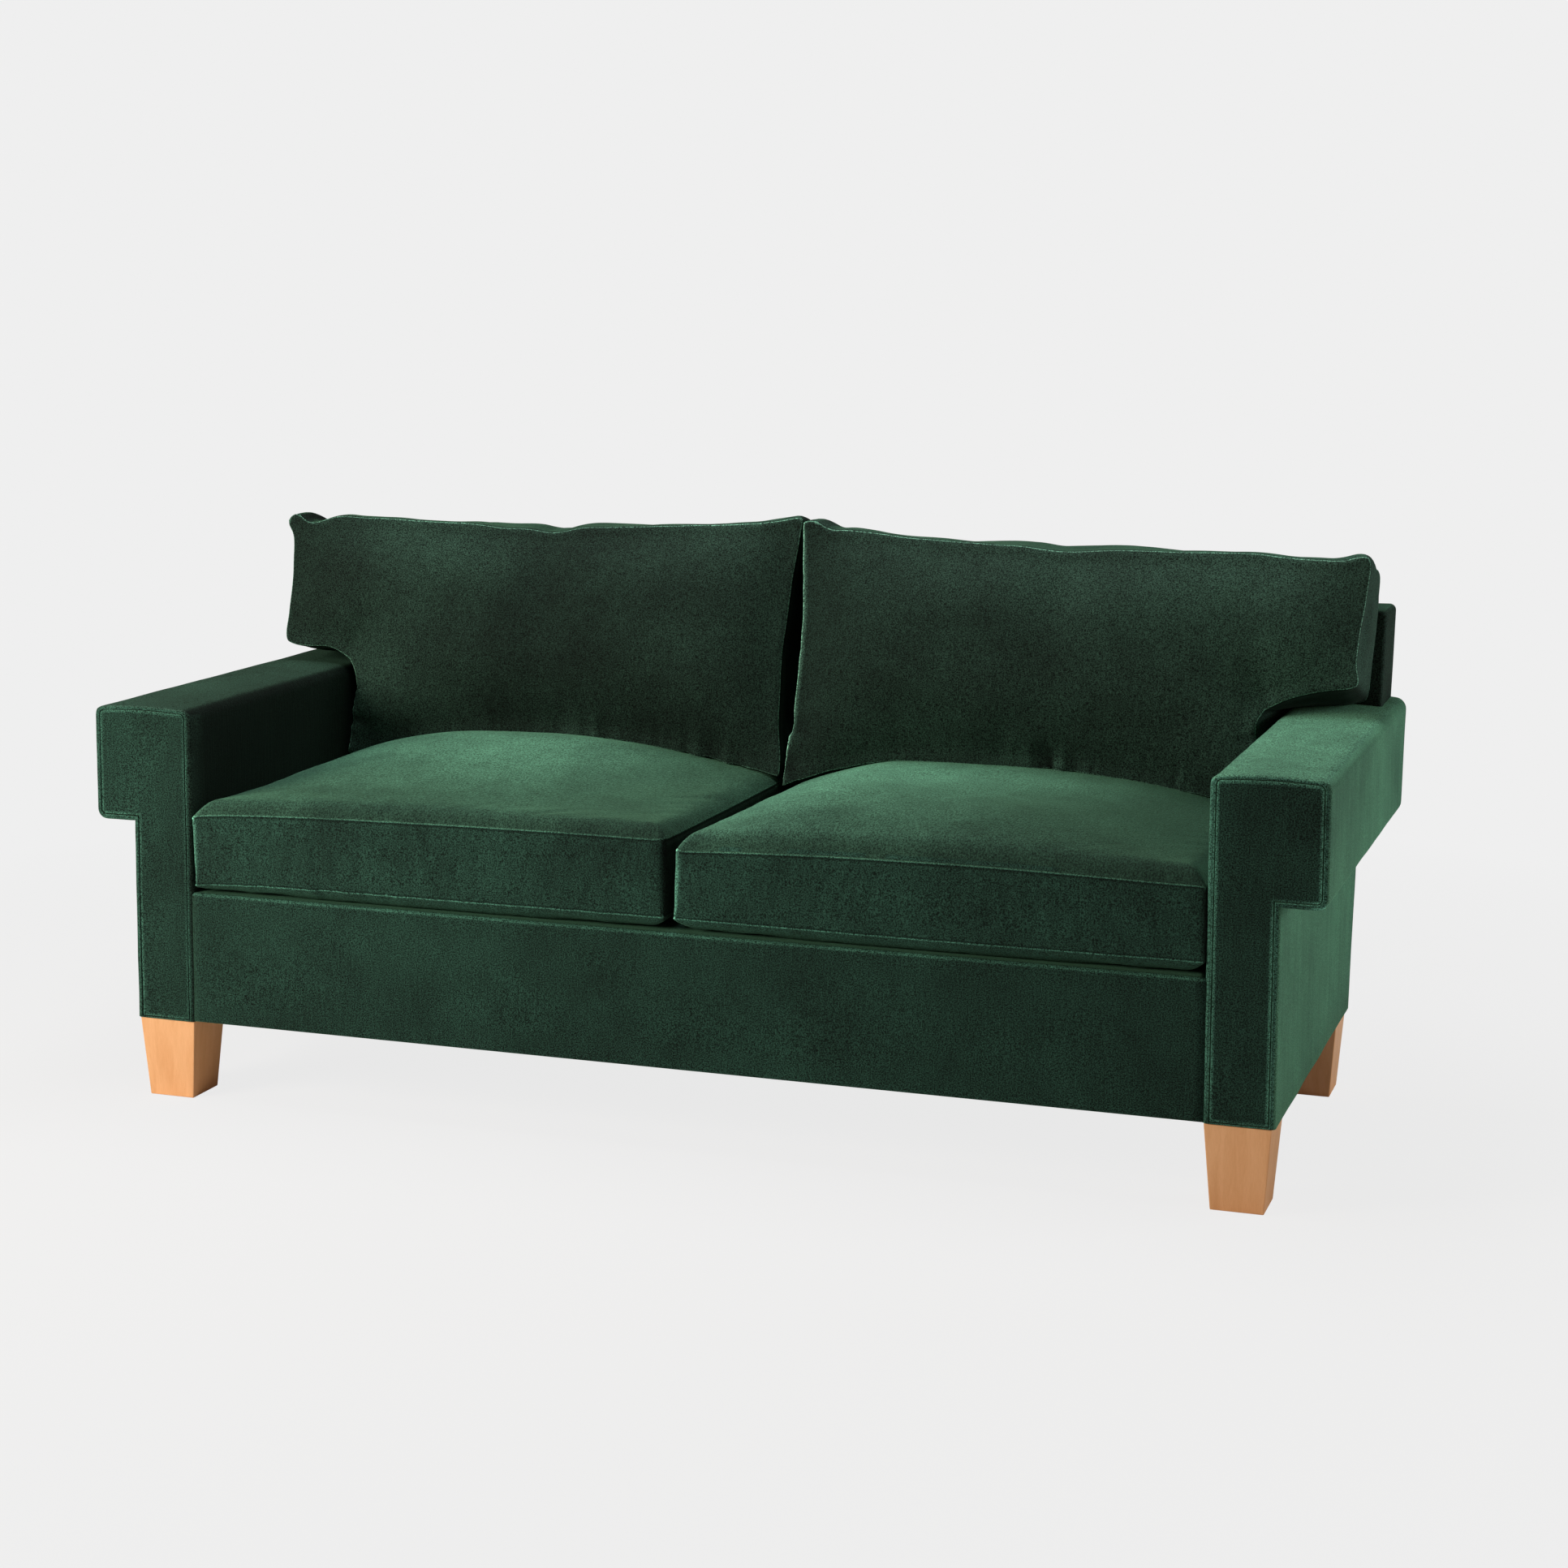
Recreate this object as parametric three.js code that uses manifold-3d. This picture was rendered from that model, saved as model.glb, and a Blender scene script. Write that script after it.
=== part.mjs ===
// A two-seat velvet sofa: tapered wood legs, overhanging arms, a raked back and four loose cushions.
// Millimetres. +X runs along the seat, +Y from front to back, +Z up. The floor is z = 0.

import * as THREE from 'three';
import { mergeVertices } from 'three/addons/utils/BufferGeometryUtils.js';
import Module from 'manifold-3d';

const wasm = await Module();
wasm.setup();

// Overall sizes
const overallWidth = 2032;
const legHeight = 134;
const armHeight = 652;
const backAboveArm = 160;
const backHeight = armHeight + backAboveArm;
const depthAtHem = 752;
const rakeAngle = THREE.MathUtils.degToRad(12.37);

// Materials' thicknesses and the gap that neighbouring pieces keep
const clearance = 0.3;
const velvetThickness = 3;
const wadding = 12;
const boardThickness = 18;
const railThickness = 30;
const overrun = 5;

// Arms: an upper block that overhangs a narrower post
const armTopWidth = 174;
const armOverhang = 72;
const armBlockHeight = 186;
const armCornerRadius = 16;
const armInnerX = overallWidth / 2 - armTopWidth;
const armPostX = overallWidth / 2 - armOverhang;
const armOuterX = overallWidth / 2;
const overhangZ = armHeight - armBlockHeight;

// Back: a raked slab between the arms that widens above them
const backShoulderInset = 25;
const backHalfWidth = overallWidth / 2 - backShoulderInset;
const backThickness = 126;
const backCornerRadius = 22;
const postWidth = 35;
const postDepth = 90;
const backRailDepth = 44;
const midRailHeight = 60;
const midRailAboveDeck = 20;
const webThickness = 2.5;
const webWidth = 50;

// Seat box under the cushions
const deckHeight = 352;
const deckBuild = 42;
const railTopZ = deckHeight - deckBuild;
const stretcherDrop = 50;
const railCoverLip = 3 * railThickness;
const railCoverHem = 44;
const wireSize = 3.6;
const springHalfWidth = 25;
const springCount = 8;
const springLoops = 10;

// Dust cloth under the frame
const dustClothThickness = 1;
const dustClothInset = 10;

// Legs and their bolts
const legTopWidth = 101;
const legTaper = 10.25;
const legSetback = 0.5;
const legBlockHeight = 40;
const boltRadius = 4;
const boltHeadRadius = 9;
const boltHeadHeight = 7;
const boltSides = 12;
const legBoltInLeg = 45;
const legBoltInBlock = 35;
const armBoltSetback = 120;
const armBoltAboveBlock = 51;
const armBoltTip = 6;

// Seat cushions
const seatSeamAboveDeck = 133;
const seatSeamZ = deckHeight + seatSeamAboveDeck;
const seatCrown = 89;
const seatCrownReach = 320;
const seatSideGap = 1;
const seatRearGap = 6;
const seatSeamLift = 12;
const seatSeamLiftReach = 70;
const seatDrawIn = 5;

// Back cushions, each with an ear over its arm
const backCushionThickness = 168;
const backCushionTop = 250;
const earInset = 11;
const backCushionHalfSpan = backHalfWidth - earInset;
const backCushionArmGap = 12;
const backCushionCentreGap = 2;
const backCushionSeatGap = 4;
const earArmGap = 3;
const backCrown = 42;
const backCrownReach = 190;
const backDrawIn = 9;
const cushionCornerRadius = 26;
const boxingBulge = 4;

// Colours of the real materials
const velvet = { color: 0x2f5a45, roughness: 0.85, metalness: 0 };
const paleWood = { color: 0xe0b184, roughness: 0.5, metalness: 0 };
const pine = { color: 0xc9a878, roughness: 0.7, metalness: 0 };
const plywood = { color: 0xb98f5f, roughness: 0.7, metalness: 0 };
const foam = { color: 0xe9e2cf, roughness: 0.95, metalness: 0 };
const webbing = { color: 0x6d6a62, roughness: 0.9, metalness: 0 };
const blackCloth = { color: 0x1c1c1c, roughness: 0.95, metalness: 0 };
const deckCloth = { color: 0x24402f, roughness: 0.95, metalness: 0 };
const steel = { color: 0x8d8f92, roughness: 0.4, metalness: 1 };

// A raked face moves back by its slope for each millimetre up, and a thickness measured square to it
// takes a little more when it is measured along Y.
const rake = Math.tan(rakeAngle);
const rakeStretch = 1 / Math.cos(rakeAngle);
const rearY = (z) => depthAtHem + rake * (z - legHeight);
const beforeRear = (thickness) => (z) => rearY(z) - thickness * rakeStretch;
const backFrontY = beforeRear(backThickness);
const behindFront = (thickness) => (z) => backFrontY(z) + thickness * rakeStretch;
const at = (y) => () => y;
const overallDepth = rearY(backHeight);

const sofa = new THREE.Group();
sofa.position.y = -overallDepth / 2;

function add(name, geometry, finish) {
  const mesh = new THREE.Mesh(geometry, new THREE.MeshStandardMaterial(finish));
  mesh.name = name;
  sofa.add(mesh);
}

const sides = [['left', -1], ['right', 1]];

// An outline of straight runs whose corners, given as [across, up, radius], are rounded
function roundedShape(corners) {
  const shape = new THREE.Shape();
  corners.forEach(([across, up, radius = 0], index) => {
    const corner = new THREE.Vector2(across, up);
    const before = new THREE.Vector2(...corners.at(index - 1).slice(0, 2));
    const after = new THREE.Vector2(...corners[(index + 1) % corners.length].slice(0, 2));
    const step = Math.min(radius, corner.distanceTo(before) / 2, corner.distanceTo(after) / 2);
    const start = before.sub(corner).setLength(step).add(corner);
    const end = after.sub(corner).setLength(step).add(corner);
    if (index === 0) shape.moveTo(start.x, start.y);
    else shape.lineTo(start.x, start.y);
    if (step > 0) shape.quadraticCurveTo(corner.x, corner.y, end.x, end.y);
  });
  return shape;
}

// An X-Z outline drawn out along Y, from one face to another that may both lean with height
function frontToBack(corners, frontAt, rearAt) {
  const geometry = new THREE.ExtrudeGeometry(roundedShape(corners), {
    depth: 1, bevelEnabled: false, curveSegments: 3,
  });
  geometry.rotateX(Math.PI / 2);
  const position = geometry.attributes.position;
  for (let i = 0; i < position.count; i += 1) {
    const z = position.getZ(i);
    const share = 1 + position.getY(i);
    position.setY(i, THREE.MathUtils.lerp(frontAt(z), rearAt(z), share));
  }
  return geometry;
}

function block(x0, x1, z0, z1, frontAt, rearAt) {
  return frontToBack([[x0, z0], [x1, z0], [x1, z1], [x0, z1]], frontAt, rearAt);
}

// A Y-Z outline drawn out along X
function leftToRight(points, x0, x1) {
  const shape = new THREE.Shape(points.map(([y, z]) => new THREE.Vector2(y, z)));
  const geometry = new THREE.ExtrudeGeometry(shape, { depth: x1 - x0, bevelEnabled: false });
  geometry.rotateX(Math.PI / 2);
  geometry.rotateZ(Math.PI / 2);
  geometry.translate(x0, 0, 0);
  return geometry;
}

function toSolid(geometry) {
  const bare = geometry.clone();
  bare.deleteAttribute('normal');
  bare.deleteAttribute('uv');
  const merged = mergeVertices(bare, clearance / 100);
  const vertProperties = new Float32Array(merged.attributes.position.array);
  const triVerts = new Uint32Array(merged.index.array);
  return new wasm.Manifold(new wasm.Mesh({ numProp: 3, vertProperties, triVerts }));
}

function cut(geometry, ...tools) {
  let solid = toSolid(geometry);
  tools.forEach((tool) => {
    solid = solid.subtract(toSolid(tool));
  });
  const { vertProperties, triVerts } = solid.getMesh();
  const result = new THREE.BufferGeometry();
  result.setAttribute('position', new THREE.BufferAttribute(new Float32Array(vertProperties), 3));
  result.setIndex(new THREE.BufferAttribute(new Uint32Array(triVerts), 1));
  result.computeVertexNormals();
  return result;
}

// A bolt along its own +Y, with its head below zero and its shank from zero up
function bolt(shank, head) {
  const headProfile = head > 0 ? [[boltHeadRadius, -head], [boltHeadRadius, 0]] : [];
  const profile = [[0, -head], ...headProfile, [boltRadius, 0], [boltRadius, shank], [0, shank]];
  const points = profile.map(([radius, along]) => new THREE.Vector2(radius, along));
  return new THREE.LatheGeometry(points, boltSides);
}

function hole(length) {
  return new THREE.CylinderGeometry(boltRadius + clearance, boltRadius + clearance, length, boltSides);
}

// Legs: square, tapered on all four faces, each held by a hanger bolt in a block above it
const legTopZ = legHeight - clearance;
const armBoardInset = velvetThickness + wadding + 2 * clearance;
const armBoardRear = beforeRear(armBoardInset + boardThickness + clearance / rakeStretch);
const armBoardFrontY = armBoardInset + boardThickness + clearance;

function legGeometry() {
  const geometry = new THREE.BoxGeometry(legTopWidth, legTopWidth, legTopZ);
  const position = geometry.attributes.position;
  const bottomShare = 1 - legTaper / (legTopWidth / 2);
  for (let i = 0; i < position.count; i += 1) {
    const share = position.getZ(i) < 0 ? bottomShare : 1;
    position.setXYZ(i, position.getX(i) * share, position.getY(i) * share, position.getZ(i));
  }
  geometry.translate(0, 0, legTopZ / 2);
  return geometry;
}

const legX = armPostX - legSetback - legTopWidth / 2;
const frontLegRearY = legSetback + legTopWidth;
const rearLegFrontY = depthAtHem - frontLegRearY;
const legRows = [
  ['front', frontLegRearY - legTopWidth / 2, at(armBoardFrontY), at(frontLegRearY)],
  ['rear', rearLegFrontY + legTopWidth / 2, at(rearLegFrontY), armBoardRear],
];

sides.forEach(([sideName, side]) => {
  legRows.forEach(([rowName, legY, blockFront, blockRear]) => {
    const place = `${rowName}_${sideName}`;
    const drill = hole(2 * (legBoltInLeg + overrun));
    drill.rotateX(Math.PI / 2);
    drill.translate(side * legX, legY, legHeight);

    const leg = legGeometry();
    leg.translate(side * legX, legY, 0);
    add(`leg_${place}`, cut(leg, drill), paleWood);

    const blockInner = side * (armInnerX + armBoardInset);
    const blockOuter = side * (armPostX - armBoardInset);
    const blockTop = legHeight + legBlockHeight;
    const legBlock = block(blockInner, blockOuter, legHeight, blockTop, blockFront, blockRear);
    add(`leg_block_${place}`, cut(legBlock, drill), pine);

    const legBolt = bolt(legBoltInLeg + legBoltInBlock, 0);
    legBolt.rotateX(Math.PI / 2);
    legBolt.translate(side * legX, legY, legHeight - legBoltInLeg);
    add(`leg_bolt_${place}`, legBolt, steel);
  });
});

// Seat box: a ring of rails on edge and a stretcher, between the arms
const boxHalfWidth = armInnerX - clearance;
const boxBottomZ = legHeight + velvetThickness + clearance;
const railFrontY = velvetThickness + wadding + 2 * clearance;
const railRearY = railFrontY + railThickness;
const boxRear = (z) => backFrontY(z) - clearance;
const rearRailFront = (z) => boxRear(z) - railThickness * rakeStretch;
const sideRailRear = (z) => rearRailFront(z) - clearance;
const sideRailFront = at(railRearY + clearance);

const acrossBox = (z0, z1, frontAt, rearAt) => block(-boxHalfWidth, boxHalfWidth, z0, z1, frontAt, rearAt);

add('front_rail', acrossBox(boxBottomZ, railTopZ, at(railFrontY), at(railRearY)), pine);
add('rear_rail', acrossBox(boxBottomZ, railTopZ, rearRailFront, boxRear), pine);

const stretcherTop = railTopZ - stretcherDrop;
const halfRail = railThickness / 2;
const stretcher = block(-halfRail, halfRail, boxBottomZ, stretcherTop, sideRailFront, sideRailRear);
add('centre_stretcher', stretcher, pine);

// Arm bolts run from inside the seat box, through the arm's cover and wadding, into its side rail
const armRailInnerX = armInnerX + armBoardInset;
const armBoltZ = legHeight + legBlockHeight + armBoltAboveBlock;
const armBoltYs = [armBoltSetback, sideRailRear(legHeight) - armBoltSetback];
const armBoltShank = armRailInnerX + railThickness + armBoltTip - (boxHalfWidth - railThickness);

function armBoltHoles(side) {
  return armBoltYs.map((y) => {
    const drill = hole(armBoltShank + 2 * overrun);
    drill.rotateZ(Math.PI / 2);
    drill.translate(side * (boxHalfWidth - railThickness + armBoltShank / 2), y, armBoltZ);
    return drill;
  });
}

sides.forEach(([sideName, side]) => {
  const inner = side * (boxHalfWidth - railThickness);
  const outer = side * boxHalfWidth;
  const sideRail = block(inner, outer, boxBottomZ, railTopZ, sideRailFront, sideRailRear);
  add(`seat_side_rail_${sideName}`, cut(sideRail, ...armBoltHoles(side)), pine);

  armBoltYs.forEach((y, index) => {
    const armBolt = bolt(armBoltShank, boltHeadHeight);
    armBolt.rotateZ(-side * Math.PI / 2);
    armBolt.translate(side * (boxHalfWidth - railThickness - clearance), y, armBoltZ);
    add(`arm_bolt_${['front', 'rear'][index]}_${sideName}`, armBolt, steel);
  });
});

// Sinuous springs: one flat steel zigzag each, stretched from the front rail to the rear rail
function springGeometry(x, y0, y1, z) {
  const half = wireSize / 2;
  const pitch = (y1 - y0) / (springLoops + 1);
  const path = [[x, y0]];
  for (let loop = 0; loop <= springLoops; loop += 1) {
    const reach = x + (loop % 2 ? -springHalfWidth : springHalfWidth);
    const start = y0 + pitch * (loop + 1 / 4);
    path.push([reach, start], [reach, start + pitch / 2]);
  }
  path.push([x, y1]);

  const rings = path.map(([px, py], index) => {
    const point = new THREE.Vector2(px, py);
    const into = index > 0 ? point.clone().sub(new THREE.Vector2(...path[index - 1])).normalize() : null;
    const out = index < path.length - 1
      ? new THREE.Vector2(...path[index + 1]).sub(point).normalize() : into;
    const along = (into ?? out).clone().add(out).normalize();
    const across = new THREE.Vector2(along.y, -along.x);
    const width = half / Math.max(along.dot(out), 1 / 2);
    return [[-width, -half], [width, -half], [width, half], [-width, half]].map(([side, up]) => [
      px + across.x * side, py + across.y * side, z + up]);
  });

  const vertices = rings.flat(2);
  const faces = [0, 1, 2, 0, 2, 3];
  for (let ring = 0; ring < rings.length - 1; ring += 1) {
    for (let edge = 0; edge < 4; edge += 1) {
      const a = ring * 4 + edge;
      const b = ring * 4 + ((edge + 1) % 4);
      faces.push(a, a + 4, b + 4, a, b + 4, b);
    }
  }
  const last = (rings.length - 1) * 4;
  faces.push(last, last + 2, last + 1, last, last + 3, last + 2);

  const geometry = new THREE.BufferGeometry();
  geometry.setAttribute('position', new THREE.Float32BufferAttribute(vertices, 3));
  geometry.setIndex(faces);
  geometry.computeVertexNormals();
  return geometry;
}

const springZ = railTopZ + clearance + wireSize / 2;
const springPitch = (2 * boxHalfWidth) / springCount;
for (let index = 0; index < springCount; index += 1) {
  const x = -boxHalfWidth + springPitch * (index + 1 / 2);
  const spring = springGeometry(x, railFrontY + halfRail, rearRailFront(railTopZ) + halfRail, springZ);
  add(`seat_spring_${index + 1}`, spring, steel);
}

// Deck: a felt pad over the springs and a plain cloth behind the velvet lip of the front rail
const lipZ = deckHeight - velvetThickness;
const deckPadBottom = springZ + wireSize / 2 + clearance;
const deckPadTop = lipZ - clearance;
add('deck_pad', acrossBox(deckPadBottom, deckPadTop, at(railFrontY), boxRear), foam);
add('deck_cloth', acrossBox(lipZ, deckHeight, at(railCoverLip + clearance), boxRear), deckCloth);

// Front rail: wadding and a velvet cover that turns over the top and under the bottom
const railWaddingFront = velvetThickness + clearance;
const railWadding = acrossBox(boxBottomZ, deckPadTop, at(railWaddingFront), at(railWaddingFront + wadding));
add('front_rail_wadding', railWadding, foam);

const hemTop = legHeight + velvetThickness;
add('front_rail_cover', leftToRight([
  [0, legHeight], [railCoverHem, legHeight], [railCoverHem, hemTop], [velvetThickness, hemTop],
  [velvetThickness, lipZ], [railCoverLip, lipZ], [railCoverLip, deckHeight], [0, deckHeight],
], -boxHalfWidth, boxHalfWidth), velvet);

// Dust cloth: tacked under the whole frame and cut back round the four legs
const clothHalfWidth = armPostX - dustClothInset;
const clothNotchX = legX - legTopWidth / 2 - clearance;
const clothFrontNotch = frontLegRearY + clearance;
const clothRearNotch = rearLegFrontY - clearance;
const clothRear = depthAtHem - dustClothInset;
const clothRightEdge = [
  [clothNotchX, dustClothInset], [clothNotchX, clothFrontNotch], [clothHalfWidth, clothFrontNotch],
  [clothHalfWidth, clothRearNotch], [clothNotchX, clothRearNotch], [clothNotchX, clothRear],
];
const clothMirrored = clothRightEdge.map(([x, y]) => [-x, y]).reverse();
const clothPoints = [...clothRightEdge, ...clothMirrored].map(([x, y]) => new THREE.Vector2(x, y));
const dustCloth = new THREE.ExtrudeGeometry(
  new THREE.Shape(clothPoints), { depth: dustClothThickness, bevelEnabled: false });
dustCloth.translate(0, 0, legHeight - clearance - dustClothThickness);
add('dust_cloth', dustCloth, blackCloth);

// Arms: an upside-down L in section, the same from front to back, and cut to the rake behind
function armSection(side, inset, bottomZ) {
  const radius = Math.max(armCornerRadius - inset, 0);
  return [
    [side * (armInnerX + inset), bottomZ],
    [side * (armPostX - inset), bottomZ],
    [side * (armPostX - inset), overhangZ + inset],
    [side * (armOuterX - inset), overhangZ + inset, radius],
    [side * (armOuterX - inset), armHeight - inset, radius],
    [side * (armInnerX + inset), armHeight - inset, radius],
  ];
}

function armBody(side, inset, bottomZ) {
  return frontToBack(armSection(side, inset, bottomZ), at(inset), beforeRear(inset));
}

sides.forEach(([sideName, side]) => {
  const openZ = legHeight - overrun;
  const holes = armBoltHoles(side);
  const waddingOuter = velvetThickness + clearance;
  const waddingInner = waddingOuter + wadding;
  const cover = cut(armBody(side, 0, legHeight), armBody(side, velvetThickness, openZ), ...holes);
  add(`arm_cover_${sideName}`, cover, velvet);
  const padding = cut(armBody(side, waddingOuter, legHeight), armBody(side, waddingInner, openZ), ...holes);
  add(`arm_wadding_${sideName}`, padding, foam);

  const section = armSection(side, armBoardInset, legHeight);
  const frontBoard = frontToBack(section, at(armBoardInset), at(armBoardInset + boardThickness));
  add(`arm_front_board_${sideName}`, frontBoard, plywood);
  const rearBoardFront = beforeRear(armBoardInset + boardThickness);
  const rearBoard = frontToBack(section, rearBoardFront, beforeRear(armBoardInset));
  add(`arm_rear_board_${sideName}`, rearBoard, plywood);

  const topZ = armHeight - armBoardInset;
  const topInner = side * (armInnerX + armBoardInset);
  const topOuter = side * (armOuterX - armBoardInset);
  const topBoard = block(topInner, topOuter, topZ - boardThickness, topZ, at(armBoardFrontY), armBoardRear);
  add(`arm_top_board_${sideName}`, topBoard, plywood);

  const railInner = side * armRailInnerX;
  const railOuter = side * (armRailInnerX + railThickness);
  const railBottom = legHeight + legBlockHeight + clearance;
  const armRail = block(railInner, railOuter, railBottom, railTopZ, at(armBoardFrontY), armBoardRear);
  add(`arm_side_rail_${sideName}`, cut(armRail, ...holes), pine);
});

// Back: a velvet shell open at the bottom, a pad, webbing and a wood frame
function backSection(inset, bottomZ) {
  const lower = armInnerX - clearance - inset;
  const upper = backHalfWidth - inset;
  const stepZ = armHeight + clearance + inset;
  const topZ = backHeight - inset;
  const radius = Math.max(backCornerRadius - inset, 0);
  return [
    [-lower, bottomZ], [lower, bottomZ], [lower, stepZ], [upper, stepZ],
    [upper, topZ, radius], [-upper, topZ, radius], [-upper, stepZ], [-lower, stepZ],
  ];
}

const backShell = frontToBack(backSection(0, legHeight), backFrontY, rearY);
const backHollow = frontToBack(backSection(velvetThickness, legHeight - overrun),
  behindFront(velvetThickness), beforeRear(velvetThickness));
add('back_cover', cut(backShell, backHollow), velvet);

const backInset = velvetThickness + clearance;
const postRear = beforeRear(backInset);
const postFront = beforeRear(backInset + postDepth);
const webRear = beforeRear(backInset + postDepth + clearance);
const webFront = beforeRear(backInset + postDepth + clearance + webThickness);
const backPadRear = beforeRear(backInset + postDepth + 2 * clearance + webThickness);
add('back_pad', frontToBack(backSection(backInset, legHeight), behindFront(backInset), backPadRear), foam);

const topRailBottom = armHeight + clearance + backInset;
const postTop = topRailBottom - clearance;
const thinRear = beforeRear(backInset + postDepth - backRailDepth);
const postOuterX = armInnerX - clearance - backInset;
const postInnerX = postOuterX - postWidth;
sides.forEach(([sideName, side]) => {
  const post = block(side * postInnerX, side * postOuterX, legHeight, postTop, postFront, postRear);
  add(`back_post_${sideName}`, post, pine);
});

const topRailHalf = backHalfWidth - backInset;
const topRailTop = backHeight - backInset;
const topRailRadius = Math.max(backCornerRadius - backInset, 0);
const topRail = frontToBack([
  [-topRailHalf, topRailBottom], [topRailHalf, topRailBottom],
  [topRailHalf, topRailTop, topRailRadius], [-topRailHalf, topRailTop, topRailRadius],
], postFront, thinRear);
add('back_top_rail', topRail, pine);
add('back_centre_post', block(-postWidth / 2, postWidth / 2, legHeight, postTop, postFront, thinRear), pine);

const midRailZ = deckHeight + midRailAboveDeck;
const midRailFront = beforeRear(backInset + postDepth - backRailDepth - clearance);
const midRailHalf = postInnerX - clearance;
const midRailTop = midRailZ + midRailHeight;
add('back_mid_rail', block(-midRailHalf, midRailHalf, midRailZ, midRailTop, midRailFront, postRear), pine);

const webPitch = (postTop - midRailTop) / 3;
['lower', 'middle', 'upper'].forEach((name, index) => {
  const webZ = midRailTop + webPitch * index;
  const web = block(-postOuterX, postOuterX, webZ, webZ + webWidth, webFront, webRear);
  add(`back_webbing_${name}`, web, webbing);
});

// Cushions: two panels over a grid, joined all round by a boxing strip. The place of each point comes
// from its column, its row, and its share of the way from the lower panel to the upper one.
function cushion(columns, rows, filled, place, mirrored) {
  const vertices = [];
  const faces = [];
  const known = new Map();
  const levels = [0, 1 / 4, 1 / 2, 3 / 4, 1];
  const has = (i, j) => i >= 0 && j >= 0 && i < columns && j < rows && filled(i, j);

  function vertex(i, j, share) {
    const key = `${i} ${j} ${share}`;
    if (!known.has(key)) {
      const outward = new THREE.Vector2();
      [[0, 0], [-1, 0], [0, -1], [-1, -1]].forEach(([di, dj]) => {
        if (has(i + di, j + dj)) outward.sub(new THREE.Vector2(di + 1 / 2, dj + 1 / 2));
      });
      known.set(key, vertices.length / 3);
      vertices.push(...place(i, j, share, outward.normalize()));
    }
    return known.get(key);
  }

  function quad(a, b, c, d) {
    faces.push(...(mirrored ? [a, c, b, a, d, c] : [a, b, c, a, c, d]));
  }

  function boxing(i0, j0, i1, j1) {
    for (let level = 1; level < levels.length; level += 1) {
      const low = levels[level - 1];
      const high = levels[level];
      quad(vertex(i0, j0, low), vertex(i1, j1, low), vertex(i1, j1, high), vertex(i0, j0, high));
    }
  }

  for (let i = 0; i < columns; i += 1) {
    for (let j = 0; j < rows; j += 1) {
      if (!has(i, j)) continue;
      quad(vertex(i, j, 1), vertex(i + 1, j, 1), vertex(i + 1, j + 1, 1), vertex(i, j + 1, 1));
      quad(vertex(i, j, 0), vertex(i, j + 1, 0), vertex(i + 1, j + 1, 0), vertex(i + 1, j, 0));
      if (!has(i, j - 1)) boxing(i, j, i + 1, j);
      if (!has(i + 1, j)) boxing(i + 1, j, i + 1, j + 1);
      if (!has(i, j + 1)) boxing(i + 1, j + 1, i, j + 1);
      if (!has(i - 1, j)) boxing(i, j + 1, i, j);
    }
  }

  const geometry = new THREE.BufferGeometry();
  geometry.setAttribute('position', new THREE.Float32BufferAttribute(vertices, 3));
  geometry.setIndex(faces);
  geometry.computeVertexNormals();
  return geometry;
}

// Shares from 0 to 1 that lie closer together towards both ends
const endSpaced = (index, count) => (1 - Math.cos((Math.PI * index) / count)) / 2;

// How far a stuffed panel has risen, from 0 at its seam to 1 at its reach, and how fast it levels out
const swellPower = 3.5;
const swell = (distance, reach) => 1 - (1 - THREE.MathUtils.clamp(distance / reach, 0, 1)) ** swellPower;

// A bow that is 0 at shares 0 and 1, and 1 halfway
const bow = (share) => 4 * share * (1 - share);

// Rounds a square corner: a and b are the distances in from its two sides
function roundCorner(a, b, radius) {
  if (a >= radius || b >= radius) return [a, b];
  const p = radius - a;
  const q = radius - b;
  const scale = Math.max(p, q) / Math.max(Math.hypot(p, q), Number.EPSILON);
  return [radius - p * scale, radius - q * scale];
}

// Seat cushion: its bottom lies flat on the deck, and its top crowns and falls away under the back cushion
const seatBottomZ = deckHeight + clearance;
const seatInnerX = seatSideGap + boxingBulge;
const seatOuterX = armInnerX - seatSideGap - boxingBulge;
const seatFrontY = boxingBulge;
const seatRearY = backFrontY(deckHeight) - seatRearGap - boxingBulge;
const seatWidth = seatOuterX - seatInnerX;
const seatDepth = seatRearY - seatFrontY;
const seatColumns = 16;
const seatRows = 14;

function seatTopZ(x, y) {
  const across = swell(x - seatInnerX, seatCrownReach) * swell(seatOuterX - x, seatCrownReach);
  const along = swell(y - seatFrontY, seatCrownReach) * swell(seatRearY - y, seatCrownReach);
  return seatSeamZ + seatCrown * across * along;
}

function seatCushion(side) {
  return cushion(seatColumns, seatRows, () => true, (i, j, share, outward) => {
    const column = endSpaced(i, seatColumns);
    const row = endSpaced(j, seatRows);
    let x = seatInnerX + seatWidth * column;
    let y = seatFrontY + seatDepth * row;
    const edge = Math.min(x - seatInnerX, seatOuterX - x, y - seatFrontY, seatRearY - y);
    const lift = seatSeamLift * (1 - swell(edge, seatSeamLiftReach));
    const z = THREE.MathUtils.lerp(seatBottomZ + lift, seatTopZ(x, y), share);

    const [inX, inY] = roundCorner(
      Math.min(x - seatInnerX, seatOuterX - x), Math.min(y - seatFrontY, seatRearY - y), cushionCornerRadius);
    x = column < 1 / 2 ? seatInnerX + inX : seatOuterX - inX;
    y = row < 1 / 2 ? seatFrontY + inY : seatRearY - inY;
    y += seatDrawIn * bow(column) * (1 - 2 * row);
    const puff = boxingBulge * bow(share);
    return [side * (x + outward.x * puff), y + outward.y * puff, z];
  }, side < 0);
}

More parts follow.
